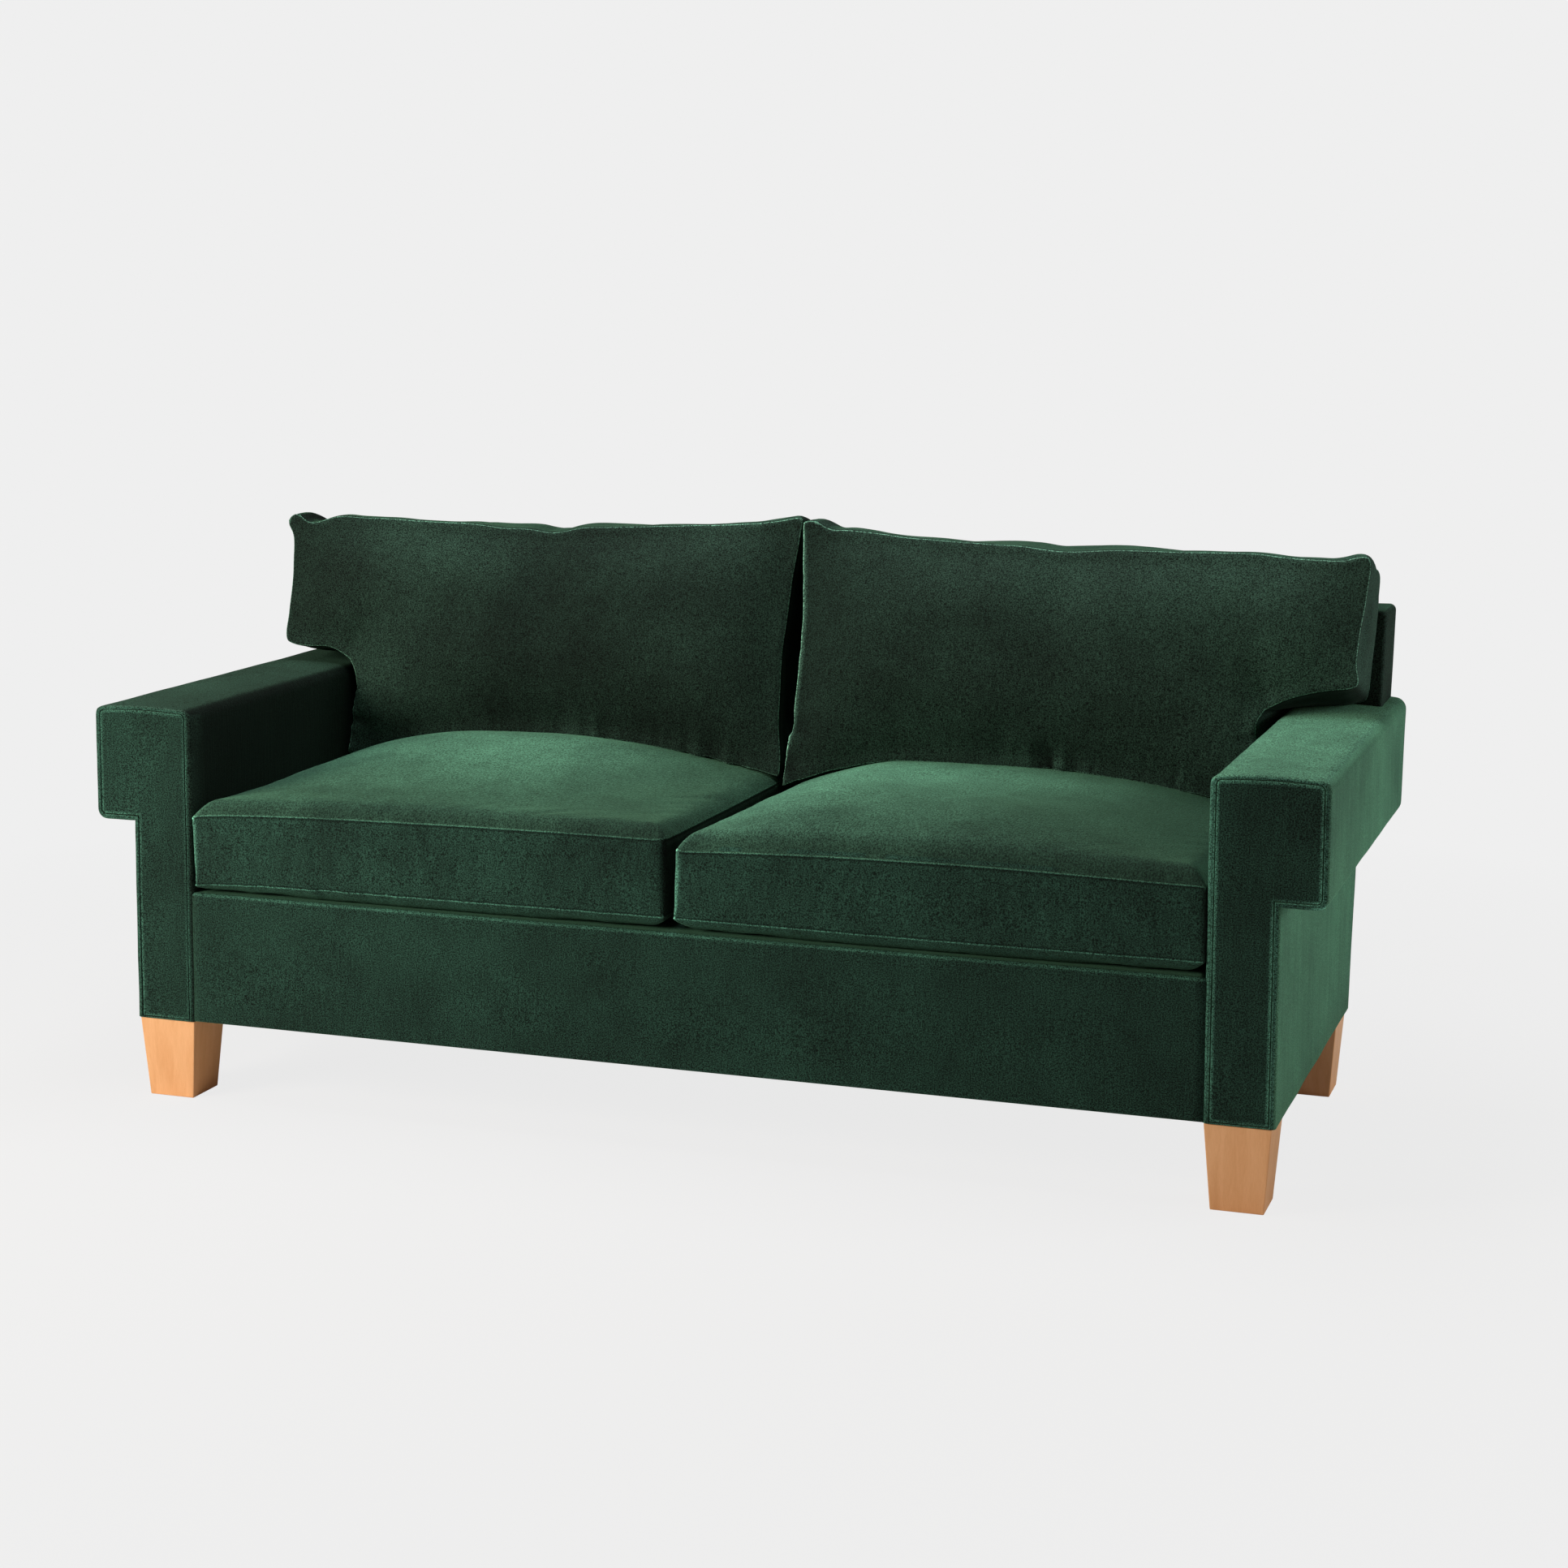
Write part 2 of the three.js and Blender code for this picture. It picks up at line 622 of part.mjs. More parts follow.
// Back cushion: it leans on the back with a flat rear panel, its ear passes over the arm, and its lower
// edge follows the seat cushion's crown. Its own axes are across, up the rake, and forward.
const cushionInnerX = backCushionCentreGap + boxingBulge;
const cushionBodyX = armInnerX - backCushionArmGap;
const cushionOuterX = backCushionHalfSpan;
const earUp = (earArmGap + boxingBulge) * rakeStretch;
const bodyColumns = 12;
const earColumns = 5;
const bodyRows = 6;
const earRows = 8;

function raked(x, up, forward) {
  return [
    x,
    backFrontY(armHeight) + up * Math.sin(rakeAngle) - forward * Math.cos(rakeAngle),
    armHeight + up * Math.cos(rakeAngle) + forward * Math.sin(rakeAngle),
  ];
}

const cushionFrontSeamY = backFrontY(seatSeamZ + seatCrown) - backCushionThickness * rakeStretch;
function cushionBottomUp(x) {
  const clearOfRearSeam = seatSeamZ + rake * (seatRearY - cushionFrontSeamY);
  const z = Math.max(seatTopZ(x, cushionFrontSeamY), clearOfRearSeam) + backCushionSeatGap + boxingBulge;
  return (z - armHeight - backCushionThickness * Math.sin(rakeAngle)) / Math.cos(rakeAngle);
}

function backCushion(side) {
  const filled = (i, j) => i < bodyColumns || j >= bodyRows;
  return cushion(bodyColumns + earColumns, bodyRows + earRows, filled, (i, j, share, outward) => {
    const inBody = i <= bodyColumns;
    const column = inBody ? endSpaced(i, bodyColumns) : endSpaced(i - bodyColumns, earColumns);
    const [lowX, highX] = inBody ? [cushionInnerX, cushionBodyX] : [cushionBodyX, cushionOuterX];
    let x = THREE.MathUtils.lerp(lowX, highX, column);
    const bottom = cushionBottomUp(x);
    const below = j <= bodyRows;
    const row = below ? endSpaced(j, bodyRows) : endSpaced(j - bodyRows, earRows);
    const [lowUp, highUp] = below ? [bottom, earUp] : [earUp, backCushionTop];
    let up = THREE.MathUtils.lerp(lowUp, highUp, row);

    const notch = Math.hypot(Math.max(cushionBodyX - x, 0), Math.max(up - earUp, 0));
    const rise = [x - cushionInnerX, cushionOuterX - x, backCushionTop - up, notch]
      .concat(inBody ? [up - bottom] : [])
      .reduce((product, distance) => product * swell(distance, backCrownReach), 1);
    const forward = THREE.MathUtils.lerp(clearance, backCushionThickness + backCrown * rise, share);

    const outerX = up < earUp ? cushionBodyX : cushionOuterX;
    const floorUp = inBody ? bottom : earUp;
    const nearInner = x - cushionInnerX < outerX - x;
    const nearTop = backCushionTop - up < up - floorUp;
    const [inX, inUp] = roundCorner(
      nearInner ? x - cushionInnerX : outerX - x, nearTop ? backCushionTop - up : up - floorUp,
      cushionCornerRadius);
    x = nearInner ? cushionInnerX + inX : outerX - inX;
    up = nearTop ? backCushionTop - inUp : floorUp + inUp;

    const height = THREE.MathUtils.clamp((up - bottom) / (backCushionTop - bottom), 0, 1);
    const span = (x - cushionInnerX) / (cushionOuterX - cushionInnerX);
    x += backDrawIn * bow(height) * (1 - span);
    up -= backDrawIn * bow(span) * height;
    const puff = boxingBulge * bow(share);
    return raked(side * (x + outward.x * puff), up + outward.y * puff, forward);
  }, side < 0);
}

sides.forEach(([sideName, side]) => {
  add(`seat_cushion_${sideName}`, seatCushion(side), velvet);
  add(`back_cushion_${sideName}`, backCushion(side), velvet);
});

export default sofa;
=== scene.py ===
import math

import bmesh
import bpy
import numpy as np
from mathutils import Matrix, Vector, noise
from mathutils.kdtree import KDTree


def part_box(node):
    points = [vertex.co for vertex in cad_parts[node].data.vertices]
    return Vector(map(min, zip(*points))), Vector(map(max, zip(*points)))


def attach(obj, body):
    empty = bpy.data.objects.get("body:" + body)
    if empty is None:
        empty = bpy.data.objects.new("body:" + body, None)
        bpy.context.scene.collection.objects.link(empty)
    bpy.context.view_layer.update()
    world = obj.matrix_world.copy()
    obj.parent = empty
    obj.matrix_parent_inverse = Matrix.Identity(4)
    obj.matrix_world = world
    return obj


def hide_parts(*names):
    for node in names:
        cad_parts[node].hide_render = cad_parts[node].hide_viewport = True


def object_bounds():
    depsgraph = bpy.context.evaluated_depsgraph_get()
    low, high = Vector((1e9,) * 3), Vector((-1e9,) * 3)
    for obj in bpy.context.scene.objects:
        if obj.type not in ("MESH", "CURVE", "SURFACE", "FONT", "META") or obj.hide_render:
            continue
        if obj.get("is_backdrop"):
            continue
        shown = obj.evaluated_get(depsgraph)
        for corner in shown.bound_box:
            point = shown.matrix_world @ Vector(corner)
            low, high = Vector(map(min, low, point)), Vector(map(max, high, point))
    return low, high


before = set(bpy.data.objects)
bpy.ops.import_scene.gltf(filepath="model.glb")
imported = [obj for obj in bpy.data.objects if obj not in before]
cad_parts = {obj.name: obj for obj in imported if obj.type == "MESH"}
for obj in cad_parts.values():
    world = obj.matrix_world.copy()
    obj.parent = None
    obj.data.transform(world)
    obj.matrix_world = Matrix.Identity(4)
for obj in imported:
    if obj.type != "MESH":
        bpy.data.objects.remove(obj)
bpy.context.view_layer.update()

# Legs
# Four square feet of pale solid hardwood, tapered on all faces, with eased edges under a clear satin
# lacquer. Each screws onto a hanger bolt, so its top has a hole.


def linear(hex_colour):
    """An sRGB hex colour as the linear values that a shader takes."""
    channels = [int(hex_colour[i:i + 2], 16) / 255 for i in (1, 3, 5)]
    return [c / 12.92 if c <= 0.04045 else ((c + 0.055) / 1.055) ** 2.4 for c in channels] + [1]


def new_material(name, **shader):
    """A material with one principled shader, whose plain values are set on its own sockets."""
    material = bpy.data.materials.new(name)
    material.use_nodes = True
    principled = material.node_tree.nodes["Principled BSDF"]
    for socket, value in shader.items():
        principled.inputs[socket.replace("_", " ")].default_value = value
    return material, principled


def add_node(owner, kind, settings=(), **inputs):
    """Adds a node with its settings to a material or a world, and sets or links each of its inputs, which
    are named, or numbered as in_0, in_1."""
    node = owner.node_tree.nodes.new(kind)
    for name, value in dict(settings).items():
        setattr(node, name, value)
    for name, value in inputs.items():
        key = int(name[3:]) if name.startswith("in_") else name.replace("_", " ")
        if isinstance(value, bpy.types.NodeSocket):
            owner.node_tree.links.new(value, node.inputs[key])
        else:
            node.inputs[key].default_value = value
    return node


def link(material, output, shader_input):
    """Links a node's output to a socket of the material's shader."""
    material.node_tree.links.new(output, shader_input)


def make_active(piece):
    """Selects one piece alone, for the operators that follow."""
    bpy.ops.object.select_all(action="DESELECT")
    piece.select_set(True)
    bpy.context.view_layer.objects.active = piece


def modify(piece, kind, **settings):
    """Adds a modifier with its settings to a piece and applies it."""
    make_active(piece)
    modifier = piece.modifiers.new(kind.lower(), kind)
    for name, value in settings.items():
        setattr(modifier, name, value)
    bpy.ops.object.modifier_apply(modifier=modifier.name)


def pick(kind, test):
    """In edit mode, selects the active mesh's faces, edges or vertices that pass a test."""
    bpy.ops.mesh.select_mode(type=kind)
    bpy.ops.mesh.select_all(action="DESELECT")
    shape = bmesh.from_edit_mesh(bpy.context.edit_object.data)
    for item in {"FACE": shape.faces, "EDGE": shape.edges, "VERT": shape.verts}[kind]:
        item.select_set(bool(test(item)))
    bmesh.update_edit_mesh(bpy.context.edit_object.data)


def coat(piece, material):
    """Gives a piece one material."""
    piece.data.materials.clear()
    piece.data.materials.append(material)


def settle(piece, material, smooth_angle=35):
    """Moves a piece's place into its mesh, gives it its material and smooths its shallow edges."""
    make_active(piece)
    bpy.ops.object.transform_apply(location=True, rotation=True, scale=True)
    bpy.ops.object.shade_smooth_by_angle(angle=math.radians(smooth_angle))
    coat(piece, material)


def wood(name, pale, dark, grain_axis, grain_width, roughness, contrast):
    """A sawn or sanded timber: long fine fibres and slow darker bands along one axis."""
    fibre_length = 28 * grain_width
    band_width = 16 * grain_width
    band_length = 9 * band_width
    fibre_scale = [1 / grain_width] * 3
    fibre_scale[grain_axis] = 1 / fibre_length
    band_scale = [1 / band_width] * 3
    band_scale[grain_axis] = 1 / band_length
    material, shader = new_material(name, Roughness=roughness)
    place = add_node(material, "ShaderNodeTexCoord").outputs["Object"]
    fibres = add_node(material, "ShaderNodeMapping", Vector=place, Scale=fibre_scale)
    fine = add_node(material, "ShaderNodeTexNoise", Vector=fibres.outputs[0], Scale=1, Detail=4,
                    Roughness=0.7)
    bands = add_node(material, "ShaderNodeMapping", Vector=place, Scale=band_scale)
    wide = add_node(material, "ShaderNodeTexNoise", Vector=bands.outputs[0], Scale=1, Detail=2,
                    Distortion=0.8)
    both = add_node(material, "ShaderNodeMath", {"operation": "MULTIPLY_ADD"}, in_0=wide.outputs[0], in_1=1.3,
                    in_2=fine.outputs[0])
    share = add_node(material, "ShaderNodeMapRange", Value=both.outputs[0], From_Min=1.15 - contrast,
                     From_Max=1.15 + contrast)
    colour = add_node(material, "ShaderNodeMix", {"data_type": "RGBA"}, in_0=share.outputs[0],
                      in_6=linear(pale), in_7=linear(dark))
    link(material, colour.outputs[2], shader.inputs["Base Color"])
    relief = add_node(material, "ShaderNodeBump", Strength=0.12, Distance=0.0004, Height=fine.outputs[0])
    link(material, relief.outputs[0], shader.inputs["Normal"])
    return material


# Sanded and lacquered beech: a warm pale tan with hardly any figure, and a soft satin shine.
leg_wood = wood("lacquered pale beech, grain up the leg", pale="#f2bd88", dark="#dc9f66", grain_axis=2,
                grain_width=0.0012, roughness=0.42, contrast=0.5)
leg_foot_share = 0.797
leg_edge = 0.0016
hanger_bolt_hole = 0.0043
hanger_bolt_depth = 0.05

for row in ("front", "rear"):
    for side in ("left", "right"):
        low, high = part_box(f"leg_{row}_{side}")
        middle = (low + high) / 2
        bpy.ops.mesh.primitive_cube_add(size=1, location=middle, scale=high - low)
        leg = bpy.context.object
        leg.name = f"tapered_leg_{row}_{side}"
        bpy.ops.object.mode_set(mode="EDIT")
        pick("FACE", lambda face: face.normal.z < -0.9)
        bpy.ops.transform.resize(value=(leg_foot_share, leg_foot_share, 1),
                                 center_override=(middle.x, middle.y, low.z))
        bpy.ops.object.mode_set(mode="OBJECT")
        settle(leg, leg_wood)
        modify(leg, "BEVEL", width=leg_edge, segments=3)
        bpy.ops.mesh.primitive_cylinder_add(vertices=24, radius=hanger_bolt_hole, depth=2 * hanger_bolt_depth,
                                            location=(middle.x, middle.y, high.z))
        drill = bpy.context.object
        modify(leg, "BOOLEAN", object=drill, operation="DIFFERENCE")
        bpy.data.objects.remove(drill)
        settle(leg, leg_wood)
        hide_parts(f"leg_{row}_{side}")
        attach(leg, "sofa_frame")

# Frame timber and boards
# Rails, posts and blocks of planed kiln-dried poplar, and birch plywood boards that give the arms their
# shape. They are glued, screwed and stapled, and velvet hides them all.

# Planed poplar: a dull greenish cream with browner bands and no shine, because it is left bare.
poplar = {
    axis: wood(f"planed poplar, grain along {'XYZ'[axis]}", pale="#d3b88a", dark="#ab8a5c", grain_axis=axis,
               grain_width=0.0016, roughness=0.62, contrast=0.6)
    for axis in range(3)
}
timber_axis = {
    "front_rail": 0, "rear_rail": 0, "back_top_rail": 0, "back_mid_rail": 0, "centre_stretcher": 1,
    "seat_side_rail_left": 1, "seat_side_rail_right": 1, "arm_side_rail_left": 1, "arm_side_rail_right": 1,
    "back_post_left": 2, "back_post_right": 2, "back_centre_post": 2,
    "leg_block_front_left": 0, "leg_block_front_right": 0,
    "leg_block_rear_left": 0, "leg_block_rear_right": 0,
}
for node, axis in timber_axis.items():
    coat(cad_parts[node], poplar[axis])


def lines_apart(spacing):
    """The scale at which a wave texture, which turns 20 radians in a unit, draws lines this far apart."""
    return 2 * math.pi / 20 / spacing


def plywood(name, thickness_axis):
    """Birch plywood: a pale veneer face, and on its edges thin plies of alternate tone."""
    # A ply is 1.4 mm thick, so a pair of them repeats every 2.8 mm.
    ply_pair = 0.0028
    veneer_grain_width = 0.00385
    veneer_grain_length = 0.0714
    veneer_scale = [1 / veneer_grain_width] * 3
    veneer_scale[(thickness_axis + 1) % 3] = 1 / veneer_grain_length
    material, shader = new_material(name, Roughness=0.6)
    place = add_node(material, "ShaderNodeTexCoord").outputs["Object"]
    plies = add_node(material, "ShaderNodeTexWave", {"bands_direction": "XYZ"[thickness_axis]}, Vector=place,
                     Scale=lines_apart(ply_pair), Distortion=0.4, Detail=1)
    veneer = add_node(material, "ShaderNodeMapping", Vector=place, Scale=veneer_scale)
    grain = add_node(material, "ShaderNodeTexNoise", Vector=veneer.outputs[0], Scale=1, Detail=3)
    both = add_node(material, "ShaderNodeMath", {"operation": "MULTIPLY"}, in_0=plies.outputs["Fac"],
                    in_1=grain.outputs[0])
    colour = add_node(material, "ShaderNodeMix", {"data_type": "RGBA"}, in_0=both.outputs[0],
                      in_6=linear("#cfae7d"), in_7=linear("#8d6a41"))
    link(material, colour.outputs[2], shader.inputs["Base Color"])
    return material


# Sawn birch plywood: a smooth creamy face, with the light and dark stripes of its plies at each cut edge.
birch_upright = plywood("birch plywood, plies along Y", 1)
birch_flat = plywood("birch plywood, plies along Z", 2)
for side in ("left", "right"):
    coat(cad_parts[f"arm_front_board_{side}"], birch_upright)
    coat(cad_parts[f"arm_rear_board_{side}"], birch_upright)
    coat(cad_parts[f"arm_top_board_{side}"], birch_flat)

# Bolts and springs
# Zinc-plated hanger bolts and arm bolts, and sinuous springs of oil-tempered wire stretched from the
# front rail to the rear rail.


def metal(name, light, dark, roughness, spot):
    """A bare or plated steel with a mottled tone and shine, drawn at the given spot size."""
    material, shader = new_material(name, Metallic=1, Roughness=roughness)
    place = add_node(material, "ShaderNodeTexCoord").outputs["Object"]
    mottle = add_node(material, "ShaderNodeTexNoise", Vector=place, Scale=1 / spot, Detail=3)
    colour = add_node(material, "ShaderNodeMix", {"data_type": "RGBA"}, in_0=mottle.outputs[0],
                      in_6=linear(light), in_7=linear(dark))
    link(material, colour.outputs[2], shader.inputs["Base Color"])
    rough = add_node(material, "ShaderNodeMapRange", Value=mottle.outputs[0], To_Min=roughness - 0.08,
                     To_Max=roughness + 0.1)
    link(material, rough.outputs[0], shader.inputs["Roughness"])
    return material


# Zinc plate: a cool bright grey with a faint cloudy spangle.
zinc = metal("zinc plated steel", "#c9ccd0", "#9a9ea4", 0.32, 0.006)
# Oil-tempered wire: a brown-black skin that shines only along the bends.
spring_wire = metal("oil-tempered spring wire", "#6f6a64", "#3c3936", 0.4, 0.009)
for node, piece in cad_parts.items():
    if "_bolt_" in node:
        coat(piece, zinc)
    elif node.startswith("seat_spring"):
        coat(piece, spring_wire)

# Hidden soft layers
# Grey-white polyester wadding on the rail and arms, a needled felt deck pad over the springs and a foam
# pad on the back, each glued down, with elastic webbing behind the back pad.


def fibre(name, light, dark, tuft, roughness):
    """A non-woven or foam layer: a cloudy colour and a soft open surface of the given tuft size."""
    cloud_size = 9 * tuft
    material, shader = new_material(name, Roughness=roughness, Sheen_Weight=0.25, Sheen_Roughness=0.6)
    place = add_node(material, "ShaderNodeTexCoord").outputs["Object"]
    cloud = add_node(material, "ShaderNodeTexNoise", Vector=place, Scale=1 / cloud_size, Detail=3)
    tufts = add_node(material, "ShaderNodeTexNoise", Vector=place, Scale=1 / tuft, Detail=4, Roughness=0.7)
    both = add_node(material, "ShaderNodeMath", {"operation": "MULTIPLY"}, in_0=cloud.outputs[0],
                    in_1=tufts.outputs[0])
    share = add_node(material, "ShaderNodeMapRange", Value=both.outputs[0], From_Min=0.12, From_Max=0.4)
    colour = add_node(material, "ShaderNodeMix", {"data_type": "RGBA"}, in_0=share.outputs[0],
                      in_6=linear(dark), in_7=linear(light))
    link(material, colour.outputs[2], shader.inputs["Base Color"])
    relief = add_node(material, "ShaderNodeBump", Strength=0.5, Distance=0.0015, Height=tufts.outputs[0])
    link(material, relief.outputs[0], shader.inputs["Normal"])
    return material


# Carded polyester: an off-white cloud of loose fibre with no shine.
polyester = fibre("polyester wadding", "#eeeae0", "#cfc9bb", 0.004, 0.95)
# Needled felt: mixed grey-brown waste fibre, pressed flat and dull.
needled_felt = fibre("needled felt", "#a39d93", "#6f6a62", 0.003, 0.95)
# Cut polyurethane foam: cream, with its open cells as a fine even grain.
foam = fibre("cut polyurethane foam", "#efe6cf", "#d6c9a8", 0.0018, 0.9)

weld_distance = 0.00005
layer_edge = 0.004
rail_layer_edge = 0.008
layer_grid = 0.06
layer_dent = 0.0003
layer_dent_size = 0.032


def points_of(piece):
    """A piece's vertices as rows of an array."""
    flat = np.empty(len(piece.data.vertices) * 3)
    piece.data.vertices.foreach_get("co", flat)
    return flat.reshape(-1, 3)


def normals_of(piece):
    """The normals of a piece's vertices as rows of an array."""
    flat = np.empty(len(piece.data.vertices) * 3)
    piece.data.vertices.foreach_get("normal", flat)
    return flat.reshape(-1, 3)


def move_to(piece, points):
    """Puts a piece's vertices at the given points."""
    piece.data.vertices.foreach_set("co", points.ravel())
    piece.data.update()


def smooth_noise(points, scale, seed):
    """Perlin noise from about -1 to 1 at each point, drawn at the given scale in metres."""
    shift = Vector((seed * 17.3, seed * 5.1, seed * 9.7))
    return np.array([noise.noise(Vector(p) / scale + shift) for p in points])


def push_out(piece, distances):
    """Moves each vertex along its own normal by its distance, in metres."""
    move_to(piece, points_of(piece) + normals_of(piece) * np.asarray(distances)[:, None])


def divide(low, high, count):
    """The places that divide a length into equal parts, without its ends."""
    return [low + (high - low) * i / count for i in range(1, count)]


def bisect_grid(steps_x=(), steps_y=(), steps_z=()):
    """In edit mode, cuts the whole mesh by planes at the given places along each axis."""
    for axis, steps in enumerate((steps_x, steps_y, steps_z)):
        for step in steps:
            place = [0, 0, 0]
            place[axis] = step
            normal = [0, 0, 0]
            normal[axis] = 1
            bpy.ops.mesh.select_all(action="SELECT")
            bpy.ops.mesh.bisect(plane_co=place, plane_no=normal)


def open_copy(node, name):
    """A copy of a node's solid under its piece's name, in edit mode, with its triangles joined to flats."""
    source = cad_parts[node]
    piece = source.copy()
    piece.data = source.data.copy()
    piece.name = name
    piece.parent = None
    for key in list(piece.keys()):
        del piece[key]
    bpy.context.scene.collection.objects.link(piece)
    make_active(piece)
    bpy.ops.object.mode_set(mode="EDIT")
    bpy.ops.mesh.select_all(action="SELECT")
    bpy.ops.mesh.remove_doubles(threshold=weld_distance)
    bpy.ops.mesh.dissolve_limited(angle_limit=math.radians(1))
    return piece


def fitted_layer(node, name, material, edge=layer_edge):
    """A soft layer in its CAD solid's place: its edges are rounded, and its flats divided and dented."""
    layer = open_copy(node, name)
    pick("EDGE", lambda item: len(item.link_faces) == 2 and item.calc_face_angle_signed(0) > 0.8)
    bpy.ops.mesh.bevel(offset=edge, segments=3)
    shape = bmesh.from_edit_mesh(layer.data)
    ends = [[end(vertex.co[axis] for vertex in shape.verts) for end in (min, max)] for axis in range(3)]
    bisect_grid(*[divide(low, high, int((high - low) / layer_grid) + 1) for low, high in ends])
    bpy.ops.object.mode_set(mode="OBJECT")
    push_out(layer, -layer_dent - layer_dent * smooth_noise(points_of(layer), layer_dent_size, 2))
    settle(layer, material, 40)
    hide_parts(node)
    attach(layer, "sofa_frame")
    return layer


fitted_layer("front_rail_wadding", "rail_wadding", polyester, rail_layer_edge)
fitted_layer("arm_wadding_left", "left_arm_wadding", polyester)
fitted_layer("arm_wadding_right", "right_arm_wadding", polyester)
fitted_layer("deck_pad", "felt_deck_pad", needled_felt)
fitted_layer("back_pad", "foam_back_pad", foam)


def woven(name, light, dark, thread, sheen):
    """A plain weave: crossing threads of the given spacing."""
    material, shader = new_material(name, Roughness=0.85, Sheen_Weight=sheen)
    place = add_node(material, "ShaderNodeTexCoord").outputs["Object"]
    warp = add_node(material, "ShaderNodeTexWave", {"bands_direction": "X"}, Vector=place,
                    Scale=lines_apart(thread), Distortion=0.3)
    weft = add_node(material, "ShaderNodeTexWave", {"bands_direction": "DIAGONAL"}, Vector=place,
                    Scale=lines_apart(thread), Distortion=0.3)
    both = add_node(material, "ShaderNodeMath", {"operation": "MULTIPLY"}, in_0=warp.outputs["Fac"],
                    in_1=weft.outputs["Fac"])
    colour = add_node(material, "ShaderNodeMix", {"data_type": "RGBA"}, in_0=both.outputs[0],
                      in_6=linear(dark), in_7=linear(light))
    link(material, colour.outputs[2], shader.inputs["Base Color"])
    relief = add_node(material, "ShaderNodeBump", Strength=0.4, Distance=0.0004, Height=both.outputs[0])
    link(material, relief.outputs[0], shader.inputs["Normal"])
    return material


# Elastic webbing: a flat band of coarse grey-brown threads with the ribs of the rubber between them.
elastic_webbing = woven("elastic webbing", "#8b867b", "#4d4a44", 0.0018, 0.1)
for level in ("lower", "middle", "upper"):
    coat(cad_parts[f"back_webbing_{level}"], elastic_webbing)

# Deck cloth and dust cloth
# A plain dark green cloth closes the deck behind the velvet lip, and a black spunbonded cloth is stapled
# under the frame, cut back round the legs.

cloth_columns = 44
cloth_rows = 18
cloth_sag_run = 0.12
cloth_ripples = 9


def stretched_cloth(node, name, material, edge, sag):
    """A cloth stapled tight: its CAD outline, divided, with a small sag between its edges."""
    low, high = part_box(node)
    cloth = open_copy(node, name)
    bisect_grid(divide(low.x, high.x, cloth_columns), divide(low.y, high.y, cloth_rows))
    bpy.ops.object.mode_set(mode="OBJECT")
    for vertex in cloth.data.vertices:
        x, y = vertex.co.x, vertex.co.y
        inward = min(x - low.x, high.x - x, y - low.y, high.y - y)
        share = min(1, max(0, inward - edge) / cloth_sag_run)
        ripple = noise.noise(Vector((x * cloth_ripples, y * cloth_ripples, 0)))
        vertex.co.z -= sag * share * (0.6 + 0.4 * ripple)
    settle(cloth, material, 40)
    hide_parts(node)
    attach(cloth, "sofa_frame")
    return cloth


# Plain cotton deck cloth: a flat dull green, greyer than the velvet because it has no pile.
deck_fabric = woven("plain green deck cloth", "#2c4a39", "#16261d", 0.0014, 0.1)
# Spunbonded polypropylene: a matt black with the mottle of its pressed fibres.
spunbond = fibre("black spunbonded cloth", "#2a2a2b", "#131314", 0.0012, 0.9)
deck = stretched_cloth("deck_cloth", "plain_deck_cloth", deck_fabric, 0.05, 0)
under = stretched_cloth("dust_cloth", "black_dust_cloth", spunbond, 0.04, 0.003)

# Velvet
# Dark green cotton velvet: a short dense pile on a woven back. Its pile shows almost black when it is
# looked into and pale at a grazing angle, and hands have brushed it into soft patches.

velvet_dark = "#101f1a"
velvet_light = "#294a3e"
# Real warp lines are about 1 mm apart and tufts are finer still. Both are drawn coarser, so that they show.
velvet_rib = 0.0036
velvet_rib_length = 0.045
velvet_tuft = 0.0020
velvet_patch = 0.2222
hand_stroke = (0.0625, 0.0625, 0.0625)
upright_stroke = (0.0182, 0.0182, 0.2)


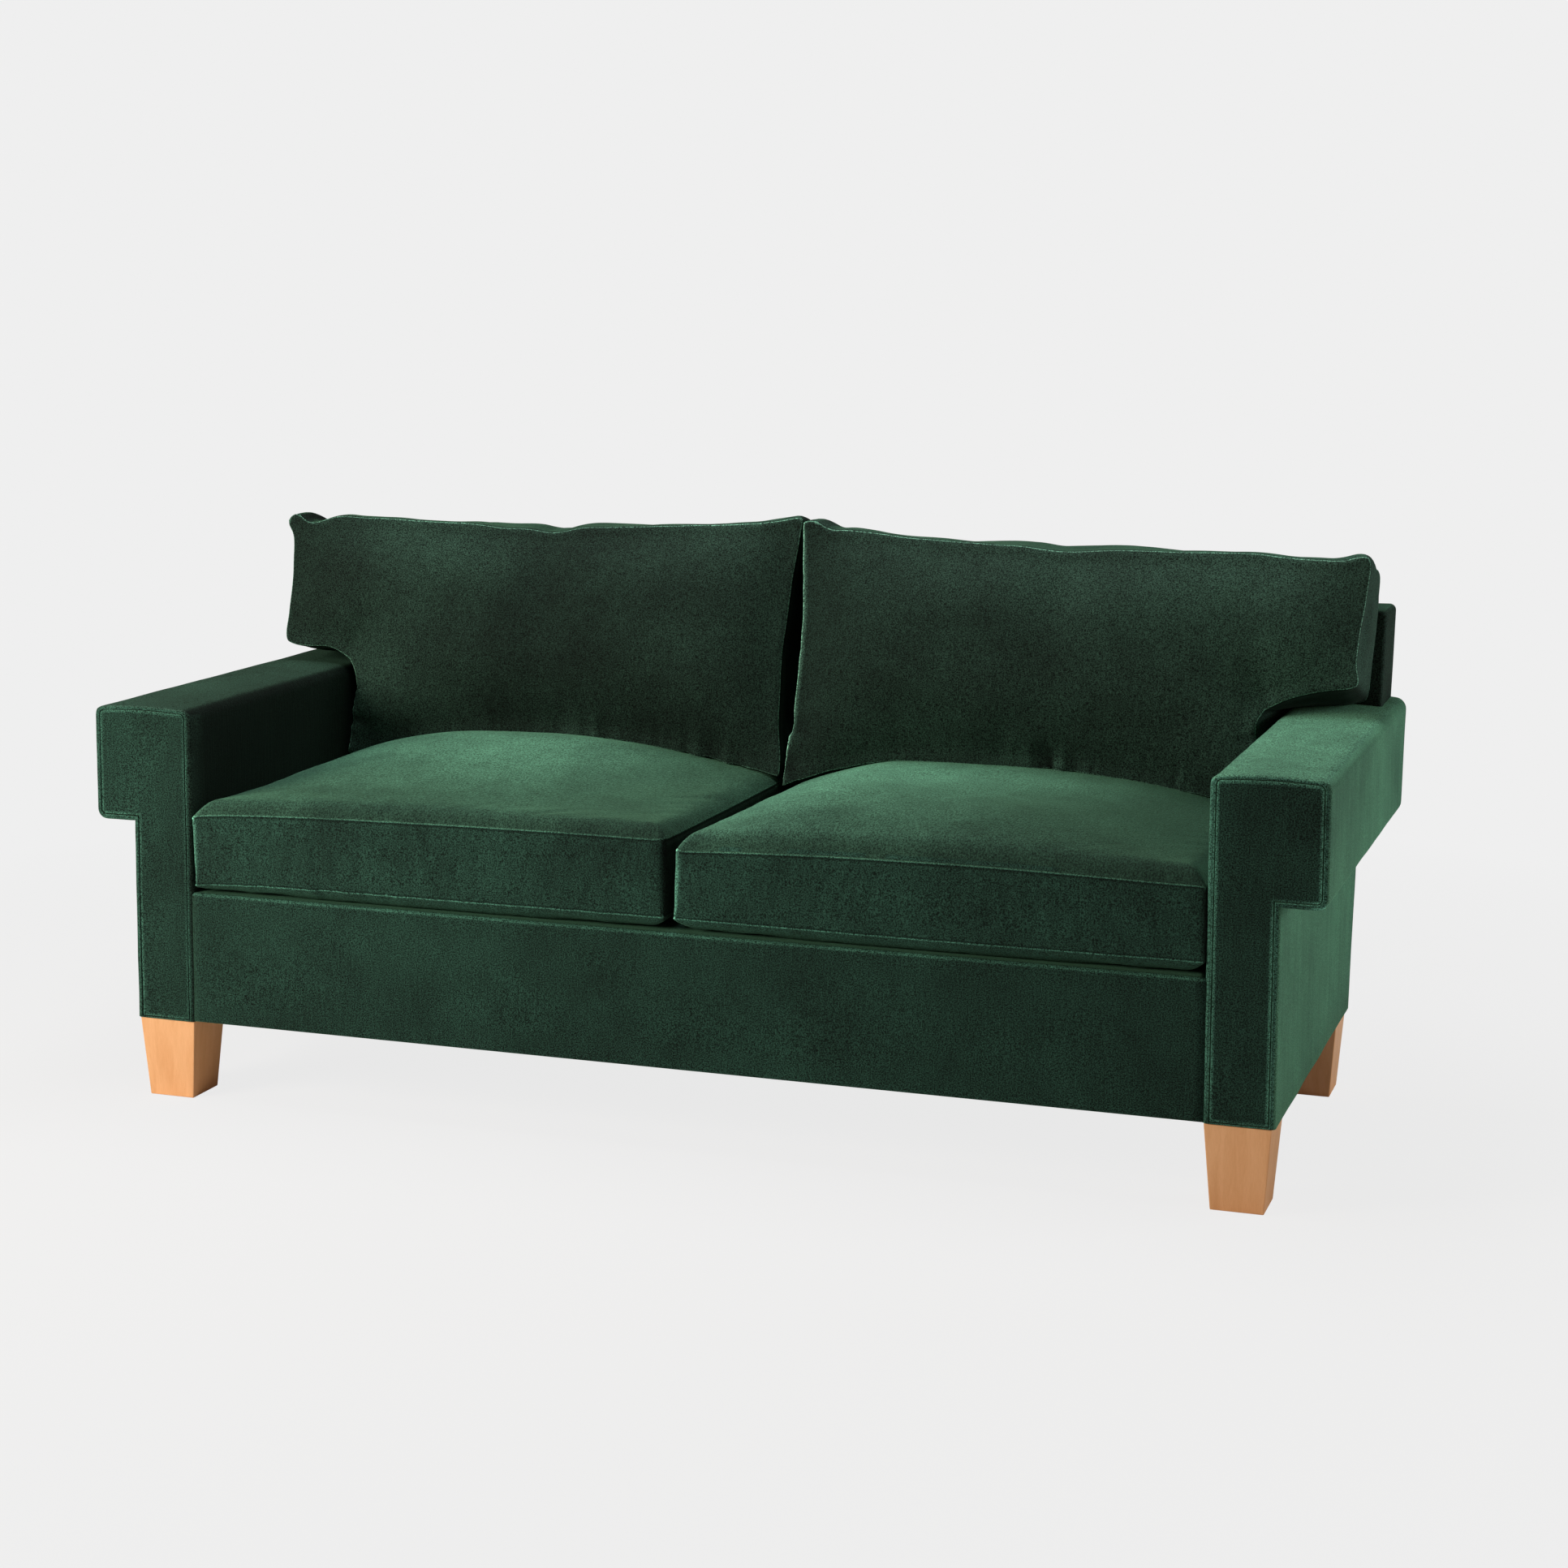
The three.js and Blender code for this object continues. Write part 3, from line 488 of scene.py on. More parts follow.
def velvet_material(name, sheen, brush=hand_stroke, stroke=0.5, relief=0.0009, tuft_stretch=(1, 1, 1),
                    glint=0.91, dark=velvet_dark, light=velvet_light):
    """Velvet with a sheen over broad patches, brush strokes of a given size and strength, upright ribs and
    fine tufts, whose glint is how much they differ. Attributes of the mesh paint light and shade into its
    colour:
    pile (1 is plain) lightens faces turned to the lamps and darkens those turned away, in part for how the
    pile lies; shade is a painted shadow in and beside seams; seam is a painted highlight along a seam's pale
    edge."""
    material, shader = new_material(name, Roughness=0.85, Sheen_Weight=sheen, Sheen_Roughness=0.4,
                                    Sheen_Tint=linear("#94e2b4"), Specular_IOR_Level=0.1)
    place = add_node(material, "ShaderNodeTexCoord").outputs["Object"]
    patches = add_node(material, "ShaderNodeTexNoise", Vector=place, Scale=1 / velvet_patch, Detail=3,
                       Roughness=0.55)
    brushed = add_node(material, "ShaderNodeMapping", Vector=place, Scale=[1 / size for size in brush])
    strokes = add_node(material, "ShaderNodeTexNoise", Vector=brushed.outputs[0], Scale=1, Detail=4,
                       Roughness=0.6, Distortion=0.6)
    upright = add_node(material, "ShaderNodeMapping", Vector=place,
                       Scale=(1 / velvet_rib, 1 / velvet_rib, 1 / velvet_rib_length))
    ribs = add_node(material, "ShaderNodeTexNoise", Vector=upright.outputs[0], Scale=1, Detail=2)
    drawn_out = add_node(material, "ShaderNodeMapping", Vector=place, Scale=tuft_stretch)
    tufts = add_node(material, "ShaderNodeTexNoise", Vector=drawn_out.outputs[0], Scale=1 / velvet_tuft,
                     Detail=2, Roughness=0.65)
    tone = add_node(material, "ShaderNodeMath", {"operation": "MULTIPLY_ADD"}, in_0=strokes.outputs[0],
                    in_1=stroke, in_2=patches.outputs[0])
    tone = add_node(material, "ShaderNodeMath", {"operation": "MULTIPLY_ADD"}, in_0=ribs.outputs[0],
                    in_1=0.5, in_2=tone.outputs[0])
    share = add_node(material, "ShaderNodeMapRange", Value=tone.outputs[0], From_Min=0.25 + stroke / 2,
                     From_Max=1.25 + stroke / 2)
    even = add_node(material, "ShaderNodeMix", {"data_type": "RGBA"}, in_0=share.outputs[0],
                    in_6=linear(dark), in_7=linear(light))
    sparkle = add_node(material, "ShaderNodeMapRange", Value=tufts.outputs[0], From_Min=0.38, From_Max=0.62,
                       To_Min=1.03 - glint, To_Max=1.03 + glint)
    # Painted light and shade: pile lightens or darkens the colour by how a face turns to the lamps, shade
    # paints seam shadows dark, and seam paints a pale highlight along the seams.
    pile = add_node(material, "ShaderNodeAttribute", {"attribute_name": "pile"})
    shade = add_node(material, "ShaderNodeAttribute", {"attribute_name": "shade"})
    shadow = add_node(material, "ShaderNodeMapRange", Value=shade.outputs["Fac"], From_Min=0.1, From_Max=0.9,
                      To_Min=1, To_Max=0.12)
    seam = add_node(material, "ShaderNodeAttribute", {"attribute_name": "seam"})
    pale_edge = add_node(material, "ShaderNodeMapRange", Value=seam.outputs["Fac"], From_Min=0.2,
                         From_Max=0.8, To_Min=1, To_Max=4)
    colour = even.outputs[2]
    for factor in (sparkle.outputs[0], pile.outputs["Color"], shadow.outputs[0], pale_edge.outputs[0]):
        deepened = add_node(material, "ShaderNodeMix", {"data_type": "RGBA", "blend_type": "MULTIPLY"},
                            in_0=1.0, in_6=colour, in_7=factor)
        colour = deepened.outputs[2]
    link(material, colour, shader.inputs["Base Color"])
    weave = add_node(material, "ShaderNodeMath", {"operation": "ADD"}, in_0=ribs.outputs[0],
                     in_1=tufts.outputs[0])
    relief = add_node(material, "ShaderNodeBump", Strength=0.7, Distance=relief, Height=weave.outputs[0])
    link(material, relief.outputs[0], shader.inputs["Normal"])
    return material


# Pile as it hangs: a deep even green, which goes pale only where the light grazes it.
velvet = velvet_material("green velvet, pile hanging down", 0.25)
# Lit copy, painted light: a brighter, warmer green with more sheen and coarse tufts, for faces turned to the
# lamps such as the seats' crowns, in part standing for pile brushed towards the light.
lit_velvet = velvet_material("green velvet, lit copy with painted light", 0.35, stroke=0.8,
                                relief=0.0016, tuft_stretch=(1, 0.32, 1), glint=0.7, light="#2d4b3c")
# Shaded copy, painted shade: a dull, almost black green with hardly any sheen, for faces turned away from the
# lamps, in part standing for pile brushed away from the light.
shaded_velvet = velvet_material("green velvet, shaded copy with painted shade", 0.05, dark="#141f1a",
                                light="#2f4a3e")
# Pile stroked up and down: pale and dark streaks, as on the outer side of the right arm, with the lit copy's
# extra sheen as painted light.
velvet_streaked = velvet_material("green velvet, pile brushed in upright strokes", 0.35, upright_stroke, 0.6,
                                  0.0012, glint=0.5, light="#2b4a39")


def choose_velvet(piece, lit_faces=None, shaded_faces=None, streaked=None):
    """Gives each face one of the velvets, from tests on its normal and middle: the lit and shaded copies
    paint light and shade by the way a face turns, in part for how its pile lies.
    """
    piece.data.materials.clear()
    for material in (velvet, lit_velvet, shaded_velvet, velvet_streaked):
        piece.data.materials.append(material)
    for face in piece.data.polygons:
        if streaked and streaked(face.normal, face.center):
            face.material_index = 3
        elif lit_faces and lit_faces(face.normal, face.center):
            face.material_index = 1
        elif shaded_faces and shaded_faces(face.normal, face.center):
            face.material_index = 2


def write_attribute(piece, name, values):
    """Stores one value for each vertex."""
    attribute = piece.data.attributes.new(name, "FLOAT", "POINT")
    attribute.data.foreach_set("value", np.asarray(values, np.float32))


def tree_of(points):
    """A tree that finds the nearest of some points."""
    tree = KDTree(len(points))
    for i, point in enumerate(points):
        tree.insert(point, i)
    tree.balance()
    return tree


def near_lines(points, lines, reach, spacing=0.001):
    """How close each point is to polylines: 1 on a line, 0 at the reach and beyond."""
    samples = []
    for line in lines:
        line = np.asarray(line, float)
        for a, b in zip(line[:-1], line[1:]):
            steps = max(1, round(np.linalg.norm(b - a) / spacing))
            samples += [a + (b - a) * i / steps for i in range(steps + 1)]
    tree = tree_of(samples)
    far = np.array([tree.find(point)[2] for point in points])
    return np.clip(1 - far / reach, 0, 1)


# Arms
# Each arm is a plywood box in the shape of an upside-down L, wadded and covered in velvet: a front and a
# rear panel, and one long strip sewn round them that turns the corner before its seam.

front_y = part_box("front_rail_cover")[0].y
hem_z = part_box("front_rail_cover")[0].z
arm_inner_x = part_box("arm_cover_right")[0].x
arm_outer_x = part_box("arm_cover_right")[1].x
rake_angle = math.radians(12.37)
rake = math.tan(rake_angle)
depth_at_hem = 0.752
arm_overhang = 0.069
arm_block_height = 0.186
arm_roll = 0.016
arm_edge = 0.0055
arm_fullness = 0.0016
arm_crown = 0.005
arm_crown_depth = 0.05
arm_grid = 0.03
strip_turn = 0.001
groove_width = 0.0018
groove_depth = 0.0028
panel_border = 0.0045
front_seam_drop = 0.0083
raised_seam_drop = 0.0040
seam_reach = 0.004
rim_from_seam = 0.0033
rim_width = 0.002
velvet_thickness = 0.0025
# Places closer than this count as the same.
touching = 0.001


def bow(share):
    """A hump of height 1 over the middle of a share from 0 to 1."""
    return 4 * share * (1 - share)


def rear_y(z):
    """Where the raked rear of the arms and the back is at a height."""
    return front_y + depth_at_hem + rake * (z - hem_z)


def spread(low, high, spacing):
    """Evenly spaced places between two ends, about the spacing apart and without the ends."""
    return divide(low, high, max(1, round((high - low) / spacing)))


def is_end_edge(edge):
    """Whether an edge parts a face that looks along y from one that doesn't."""
    return len(edge.link_faces) == 2 and sum(abs(face.normal.y) > 0.9 for face in edge.link_faces) == 1


def open_underside():
    """In edit mode, takes away the face at the hem, where a cover is open."""
    pick("FACE", lambda face: face.normal.z < -0.9 and face.calc_center_median().z < hem_z + touching)
    bpy.ops.mesh.delete(type="FACE")


def sew_panel(is_panel):
    """In edit mode, insets a flat panel and sinks a narrow groove round it, where the seam is."""
    pick("FACE", is_panel)
    bpy.ops.mesh.inset(thickness=strip_turn, depth=0)
    bpy.ops.mesh.inset(thickness=groove_width, depth=-groove_depth)
    shape = bmesh.from_edit_mesh(bpy.context.edit_object.data)
    panel = [face for face in shape.faces if face.select]
    line = []
    for edge in {edge for face in panel for edge in face.edges}:
        if sum(face.select for face in edge.link_faces) == 1:
            line.append([tuple(vertex.co) for vertex in edge.verts])
    bpy.ops.mesh.inset(thickness=groove_width, depth=groove_depth)
    bpy.ops.mesh.inset(thickness=panel_border, depth=0)
    return line


def leave_cuts():
    """Leaves edit mode, with the mesh's doubled points joined and its faces turned outwards."""
    bpy.ops.mesh.select_all(action="SELECT")
    bpy.ops.mesh.remove_doubles(threshold=weld_distance)
    bpy.ops.mesh.normals_make_consistent(inside=False)
    bpy.ops.object.mode_set(mode="OBJECT")


for name, side in (("left", -1), ("right", 1)):
    low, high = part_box(f"arm_cover_{name}")
    inner_x = side * arm_inner_x
    outer_x = side * arm_outer_x
    post_x = side * (arm_outer_x - arm_overhang)
    top_z = high.z
    block_z = top_z - arm_block_height
    bpy.ops.mesh.primitive_cube_add(
        size=1, location=((inner_x + post_x) / 2, (front_y + high.y) / 2, (hem_z + top_z) / 2),
        scale=(abs(post_x - inner_x), high.y - front_y, top_z - hem_z))
    arm = bpy.context.object
    arm.name = f"{name}_arm"
    bpy.ops.object.transform_apply(location=True, rotation=True, scale=True)
    bpy.ops.object.mode_set(mode="EDIT")
    bisect_grid(steps_z=[block_z])
    pick("FACE", lambda face: face.normal.x * side > 0.9 and face.calc_center_median().z > block_z)
    bpy.ops.mesh.extrude_region_move(TRANSFORM_OT_translate={"value": (side * arm_overhang, 0, 0)})
    bpy.ops.mesh.select_all(action="SELECT")
    bpy.ops.mesh.bisect(plane_co=(0, rear_y(hem_z), hem_z), plane_no=(0, 1, -rake), clear_outer=True,
                        use_fill=True)

    def is_long_outer_edge(edge):
        a, b = (vertex.co for vertex in edge.verts)
        middle = (a + b) / 2
        lengthways = abs(a.y - b.y) > depth_at_hem / 2
        at_outer = abs(middle.x - outer_x) < touching
        at_inner = abs(middle.x - inner_x) < touching
        at_top = middle.z > top_z - touching
        at_foot = middle.z < block_z + touching
        return lengthways and (at_top and (at_inner or at_outer) or at_outer and at_foot)

    pick("EDGE", is_long_outer_edge)
    bpy.ops.mesh.bevel(offset=arm_roll, segments=6)
    open_underside()
    pick("EDGE", is_end_edge)
    bpy.ops.mesh.bevel(offset=arm_edge, segments=3)
    seam_lines = sew_panel(lambda face: face.normal.y < -0.99)
    seam_lines += sew_panel(lambda face: face.normal.y > 0.97 and face.calc_area() > 0.02)
    bisect_grid(spread(-arm_outer_x, arm_outer_x, arm_grid), spread(front_y + 0.02, high.y - 0.02, arm_grid),
                spread(hem_z + 0.01, top_z - 0.02, arm_grid))
    leave_cuts()
    settle(arm, velvet, 50)
    places = points_of(arm)
    broad_wave = 0.0009 * smooth_noise(places, 0.11, 1 + side)
    small_wave = 0.0003 * smooth_noise(places, 0.035, 4 + side)
    push_out(arm, broad_wave + small_wave + arm_fullness)
    # Painted shadow: the seam's groove is darkened in the colour.
    write_attribute(arm, "shade", near_lines(places, seam_lines, seam_reach))
    # The front panel's top seam sits close under the top edge, and padding domes the top.
    across = np.clip((np.abs(places[:, 0]) - arm_inner_x) / (arm_outer_x - arm_inner_x), 0, 1)
    drop = np.minimum(top_z - places[:, 2], arm_crown_depth)
    at_front = np.clip(1 - (places[:, 1] - front_y - 0.006) / 0.02, 0, 1)
    new_drop = np.interp(drop, (0, front_seam_drop, arm_crown_depth), (0, raised_seam_drop, arm_crown_depth))
    lifted = points_of(arm)
    lifted[:, 2] += arm_crown * bow(across) * np.clip(1 - drop / arm_crown_depth, 0, 1)
    lifted[:, 2] += (drop - new_drop) * at_front
    move_to(arm, lifted)

    # Painted light and shade: the right arm's top and outer side are lightened and get the lit copy, with a
    # painted highlight on its inner front edge; the left arm's inner side is darkened, and it and the top get
    # the shaded copy. In part this stands for the pile brushed towards or away from the light.
    outward = normals_of(arm) * [side, 1, 1]
    to_front = np.clip(-4 * outward[:, 1] - 3, 0, 1)
    if side > 0:
        sideways, upwards = np.clip(outward[:, 0], 0, 1), np.clip(outward[:, 2], 0, 1)
        painted_light_and_shade = 1 + np.hypot(3.45 * sideways, 4.1 * upwards) - 0.27 * to_front
        painted_light_and_shade += 3 * np.clip(-outward[:, 0], 0, 1) * np.clip(-outward[:, 1], 0, 1)
        choose_velvet(arm, lit_faces=lambda normal, middle: normal.z > 0.5,
                      streaked=lambda normal, middle: normal.x > 0.6)
    else:
        painted_light_and_shade = 1 + 0.1 * np.clip(outward[:, 2], 0, 1) - 0.15 * to_front
        painted_light_and_shade -= 0.88 * np.clip(-2.2 * outward[:, 0], 0, 1)
        choose_velvet(arm, shaded_faces=lambda normal, middle: normal.x > 0.3 or normal.z > 0.5)
    # Painted highlights: a pale band on the strip's turned front edges and a pale line beside each seam's
    # groove.
    turned = near_lines(places, seam_lines, arm_roll) * (outward[:, 1] > -0.97) * (outward[:, 1] < -0.1)
    to_seam = 0.01 * (1 - near_lines(places, seam_lines, 0.01))
    rim = np.clip(1 - np.abs(to_seam - rim_from_seam) / rim_width, 0, 1)
    # A painted highlight: a fine pale line along the block's lower outer edge, over the post.
    on_roll = (np.abs(places[:, 0]) > arm_outer_x - arm_roll - touching) & (places[:, 2] < block_z + arm_roll)
    fold = on_roll * np.clip(-3 * outward[:, 2] - 1, 0, 1) * np.clip(8 + 8 * outward[:, 2], 0, 1)
    write_attribute(arm, "pile", painted_light_and_shade + 1.0 * turned + 0.9 * rim + (6 if side > 0 else 1) * fold)
    modify(arm, "SOLIDIFY", thickness=velvet_thickness, offset=-1)
    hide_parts(f"arm_cover_{name}")
    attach(arm, "sofa_frame")

# Back
# The raked back: one velvet cover over the posts, the top rail and the foam pad. Above the arms it widens
# and stands on them, and its outside back is one panel sewn in.

# It is 126 mm thick square to its rake.
back_thickness = 0.126 / math.cos(rake_angle)
back_half_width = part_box("back_cover")[1].x
back_low_half_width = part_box("front_rail_cover")[1].x
back_clearance = 0.0003
back_step_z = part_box("arm_cover_left")[1].z + back_clearance
back_roll = 0.011
back_edge = 0.006
back_grid = 0.035
# Painted shade: the back's velvet is darker than plain.
back_painted_shade = 0.75

low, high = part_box("back_cover")
bpy.ops.mesh.primitive_cube_add(
    size=1, location=(0, rear_y(hem_z) - back_thickness / 2, (hem_z + high.z) / 2),
    scale=(2 * back_low_half_width, back_thickness, high.z - hem_z))
back = bpy.context.object
back.name = "sofa_back"
bpy.ops.object.transform_apply(location=True, rotation=True, scale=True)
bpy.ops.object.mode_set(mode="EDIT")
bisect_grid(steps_z=[back_step_z])
for side in (-1, 1):
    pick("FACE", lambda face: face.normal.x * side > 0.9 and face.calc_center_median().z > back_step_z)
    bpy.ops.mesh.extrude_region_move(
        TRANSFORM_OT_translate={"value": (side * (back_half_width - back_low_half_width), 0, 0)})
pick("EDGE", lambda edge: abs(edge.verts[0].co.y - edge.verts[1].co.y) > back_thickness / 2
     and min(vertex.co.z for vertex in edge.verts) > high.z - touching
     and min(abs(vertex.co.x) for vertex in edge.verts) > back_half_width - touching)
bpy.ops.mesh.bevel(offset=back_roll, segments=6)
open_underside()
pick("EDGE", is_end_edge)
bpy.ops.mesh.bevel(offset=back_edge, segments=3)
back_lines = sew_panel(lambda face: face.normal.y > 0.99)
bisect_grid(spread(-back_half_width, back_half_width, back_grid),
            [rear_y(hem_z) - back_thickness * share for share in (0.25, 0.5, 0.75)],
            spread(hem_z, high.z, back_grid))
leave_cuts()
places = points_of(back)
# Painted shade: the seam's groove is darkened, and the whole cover is darkened a little.
write_attribute(back, "shade", near_lines(places, back_lines, seam_reach))
write_attribute(back, "pile", np.full(len(places), back_painted_shade))
push_out(back, 0.0012 * smooth_noise(places, 0.12, 7))
raked = points_of(back)
raked[:, 1] += rake * (raked[:, 2] - hem_z)
move_to(back, raked)
settle(back, velvet, 50)
# The sides and the front, which the cushions hide from the lamps, get the shaded copy: painted shade.
choose_velvet(back, shaded_faces=lambda normal, middle: abs(normal.x) > 0.5 or normal.y < -0.5)
modify(back, "SOLIDIFY", thickness=velvet_thickness, offset=-1)
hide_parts("back_cover")
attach(back, "sofa_frame")

# Front rail
# The velvet over the front rail: a strip that starts on the deck under the cushions, rolls over the wadded
# top edge, hangs flat down the rail and turns under it, with a stitched hem line near its bottom edge.

rail_columns = 110
rail_spacing = 0.012
rail_roll = 0.007
rail_foot_roll = 0.004
rail_turn_under = 0.044
hem_stitch_height = 0.007
hem_stitch_reach = 0.004


def rolled_line(corners, spacing):
    """A polyline through corners given as (a, b, radius), each rounded, with even spacing between them."""
    line = [np.array(corners[0][:2], float)]
    for before, corner, after in zip(corners[:-2], corners[1:-1], corners[2:]):
        radius = corner[2]
        point = np.array(corner[:2], float)
        to_before = np.array(before[:2], float) - point
        to_after = np.array(after[:2], float) - point
        to_before /= np.linalg.norm(to_before)
        to_after /= np.linalg.norm(to_after)
        half = math.acos(np.clip(to_before @ to_after, -1, 1)) / 2
        to_centre = (to_before + to_after) / np.linalg.norm(to_before + to_after)
        centre = point + to_centre * radius / math.sin(half)
        cut_back = radius / math.tan(half)
        start = point + to_before * cut_back - centre
        end = point + to_after * cut_back - centre
        turn = math.pi - 2 * half
        for share in np.arange(7) / 6:
            line.append(centre + (math.sin((1 - share) * turn) * start + math.sin(share * turn) * end)
                        / math.sin(turn))
    line.append(np.array(corners[-1][:2], float))
    even = [line[0]]
    for a, b in zip(line[:-1], line[1:]):
        steps = max(1, round(np.linalg.norm(b - a) / spacing))
        even += [a + (b - a) * i / steps for i in range(1, steps + 1)]
    return np.array(even)


low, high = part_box("front_rail_cover")
rail_profile = rolled_line([
    (high.y, high.z, 0), (low.y, high.z, rail_roll), (low.y, low.z, rail_foot_roll),
    (low.y + rail_turn_under, low.z, 0),
], rail_spacing)
bpy.ops.mesh.primitive_grid_add(x_subdivisions=rail_columns, y_subdivisions=len(rail_profile) - 1, size=1)
rail = bpy.context.object
rail.name = "front_rail_velvet"
grid = points_of(rail)
rows = np.round((grid[:, 1] + 0.5) * (len(rail_profile) - 1)).astype(int)
across = low.x + (high.x - low.x) * (grid[:, 0] + 0.5)
wrapped = np.column_stack([across, rail_profile[rows, 0], rail_profile[rows, 1]])
below_top = np.clip((high.z - 0.015 - wrapped[:, 2]) / 0.03, 0, 1)
above_foot = np.clip((wrapped[:, 2] - low.z - 0.01) / 0.03, 0, 1)
wrapped[:, 1] += (0.0006 + 0.0006 * smooth_noise(wrapped, 0.14, 3)) * below_top * above_foot
move_to(rail, wrapped)
if sum(polygon.normal.y * polygon.area for polygon in rail.data.polygons) > 0:
    rail.data.flip_normals()
# Painted light and shade: the velvet darkens towards the right, away from the key lamp, and a painted
# highlight runs along the rolled top edge.
outward = normals_of(rail)
rolled = np.clip(8 * np.clip(outward[:, 2], 0, 1) * np.clip(-outward[:, 1], 0, 1) - 1.6, 0, 1.8)
stitches = np.clip(1 - np.abs(wrapped[:, 2] - low.z - hem_stitch_height) / hem_stitch_reach, 0, 1)
to_right = (across - low.x) / (high.x - low.x)
write_attribute(rail, "pile", 0.93 - 0.16 * to_right + rolled)
write_attribute(rail, "shade", 0.6 * stitches * (wrapped[:, 1] < low.y + 0.005))
settle(rail, velvet, 60)
modify(rail, "SOLIDIFY", thickness=velvet_thickness, offset=-1)
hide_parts("front_rail_cover")
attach(rail, "sofa_frame")

# Seat cushions
# Two loose boxed cushions: a feather-wrapped core in velvet, a top and a bottom panel sewn to a boxing
# strip. They crown high in the middle, and their lower seams lift off the deck at the edges.

cushion_spacing = 0.0105
cushion_corner = 0.026
seam_bevel = 0.0022
seam_line_reach = 0.0075
gather_reach = 0.03
slack_reach = 0.02
smooth_reach = 0.09
filling_steps = 20


def swell(distance, reach, fullness=2.9):
    """How far a stuffed panel has risen at a distance from its seam: 0 there, and 1 at its reach."""
    return 1 - (1 - np.clip(distance / reach, 0, 1)) ** fullness


def hump(distance, width):
    """A smooth hump: 1 at no distance, and near 0 past twice the width."""
    return np.exp(-(distance / width) ** 2)


def outline_of(filled):
    """The border of a grid of filled cells, as (column, row) points, anticlockwise from its first one."""
    following = {}
    columns, rows = filled.shape
    for i in range(columns):
        for j in range(rows):
            if not filled[i, j]:
                continue
            around = (((i, j), (i + 1, j), 0, -1), ((i + 1, j), (i + 1, j + 1), 1, 0),
                      ((i + 1, j + 1), (i, j + 1), 0, 1), ((i, j + 1), (i, j), -1, 0))
            for a, b, di, dj in around:
                m, n = i + di, j + dj
                if not (0 <= m < columns and 0 <= n < rows and filled[m, n]):
                    following[a] = b
    line = [min(following)]
    while following[line[-1]] != line[0]:
        line.append(following[line[-1]])
    return line


def relax(plan, filled, rounds):
    """Evens out the inner points of a plan grid, whose border stays where it is."""
    inside = filled[1:, 1:] & filled[:-1, 1:] & filled[1:, :-1] & filled[:-1, :-1]
    for _ in range(rounds):
        mean = (plan[2:, 1:-1] + plan[:-2, 1:-1] + plan[1:-1, 2:] + plan[1:-1, :-2]) / 4
        plan[1:-1, 1:-1] = np.where(inside[..., None], mean, plan[1:-1, 1:-1])
    return plan


def boxed_cushion(name, filled, low_plan, high_plan, low_height, high_height, place, puff, far_puff):
    """Joins two panels over one grid by a boxing strip. The plans give each grid point's place across and
    along, the heights its place through the cushion, and puff is how far the strip bulges, with far_puff more
    beside the high seam where the strip faces along."""
    border = outline_of(filled)
    columns, rows = filled.shape
    used = np.zeros((columns + 1, rows + 1), bool)
    for di in (0, 1):
        for dj in (0, 1):
            used[di:columns + di, dj:rows + dj] |= filled
    index = -np.ones((columns + 1, rows + 1), int)
    index[used] = np.arange(used.sum())
    count = int(used.sum())
    low = np.column_stack([low_plan[used], low_height(low_plan[used])])
    high = np.column_stack([high_plan[used], high_height(high_plan[used])])
    points = [place(low), place(high)]
    faces = []
    for i in range(columns):
        for j in range(rows):
            if filled[i, j]:
                quad = [index[i, j], index[i + 1, j], index[i + 1, j + 1], index[i, j + 1]]
                faces.append(quad[::-1])
                faces.append([k + count for k in quad])
    ring = np.array([index[point] for point in border])
    run = np.roll(high[ring, :2], -1, 0) - np.roll(high[ring, :2], 1, 0)
    outward = np.column_stack([run[:, 1], -run[:, 0]])
    outward /= np.linalg.norm(outward, axis=1)[:, None]
    levels = max(4, round((high - low)[ring, 2].mean() / cushion_spacing))
    rings = [ring]
    start = 2 * count
    for level in range(1, levels):
        share = level / levels
        between = low[ring] + (high[ring] - low[ring]) * share
        bulge = puff * bow(share) + far_puff * bow(share ** 2) * np.clip(outward[:, 1], 0, 1)
        between[:, :2] += outward * bulge[:, None]
        points.append(place(between))
        rings.append(np.arange(start, start + len(ring)))
        start += len(ring)
    rings.append(ring + count)
    for below, above in zip(rings[:-1], rings[1:]):
        for k in range(len(ring)):
            n = (k + 1) % len(ring)
            faces.append([below[k], below[n], above[n], above[k]])
    points = np.concatenate(points)
    mesh = bpy.data.meshes.new(name)
    mesh.from_pydata(points.tolist(), [], [[int(k) for k in face] for face in faces])
    piece = bpy.data.objects.new(name, mesh)
    bpy.context.scene.collection.objects.link(piece)
    make_active(piece)
    bpy.ops.object.mode_set(mode="EDIT")
    bpy.ops.mesh.select_all(action="SELECT")
    bpy.ops.mesh.normals_make_consistent(inside=False)
    bpy.ops.object.mode_set(mode="OBJECT")
    return piece, count, rings


def closed(points, ring):
    """A ring of points as a line that ends where it starts."""
    return points[np.append(ring, ring[0])]


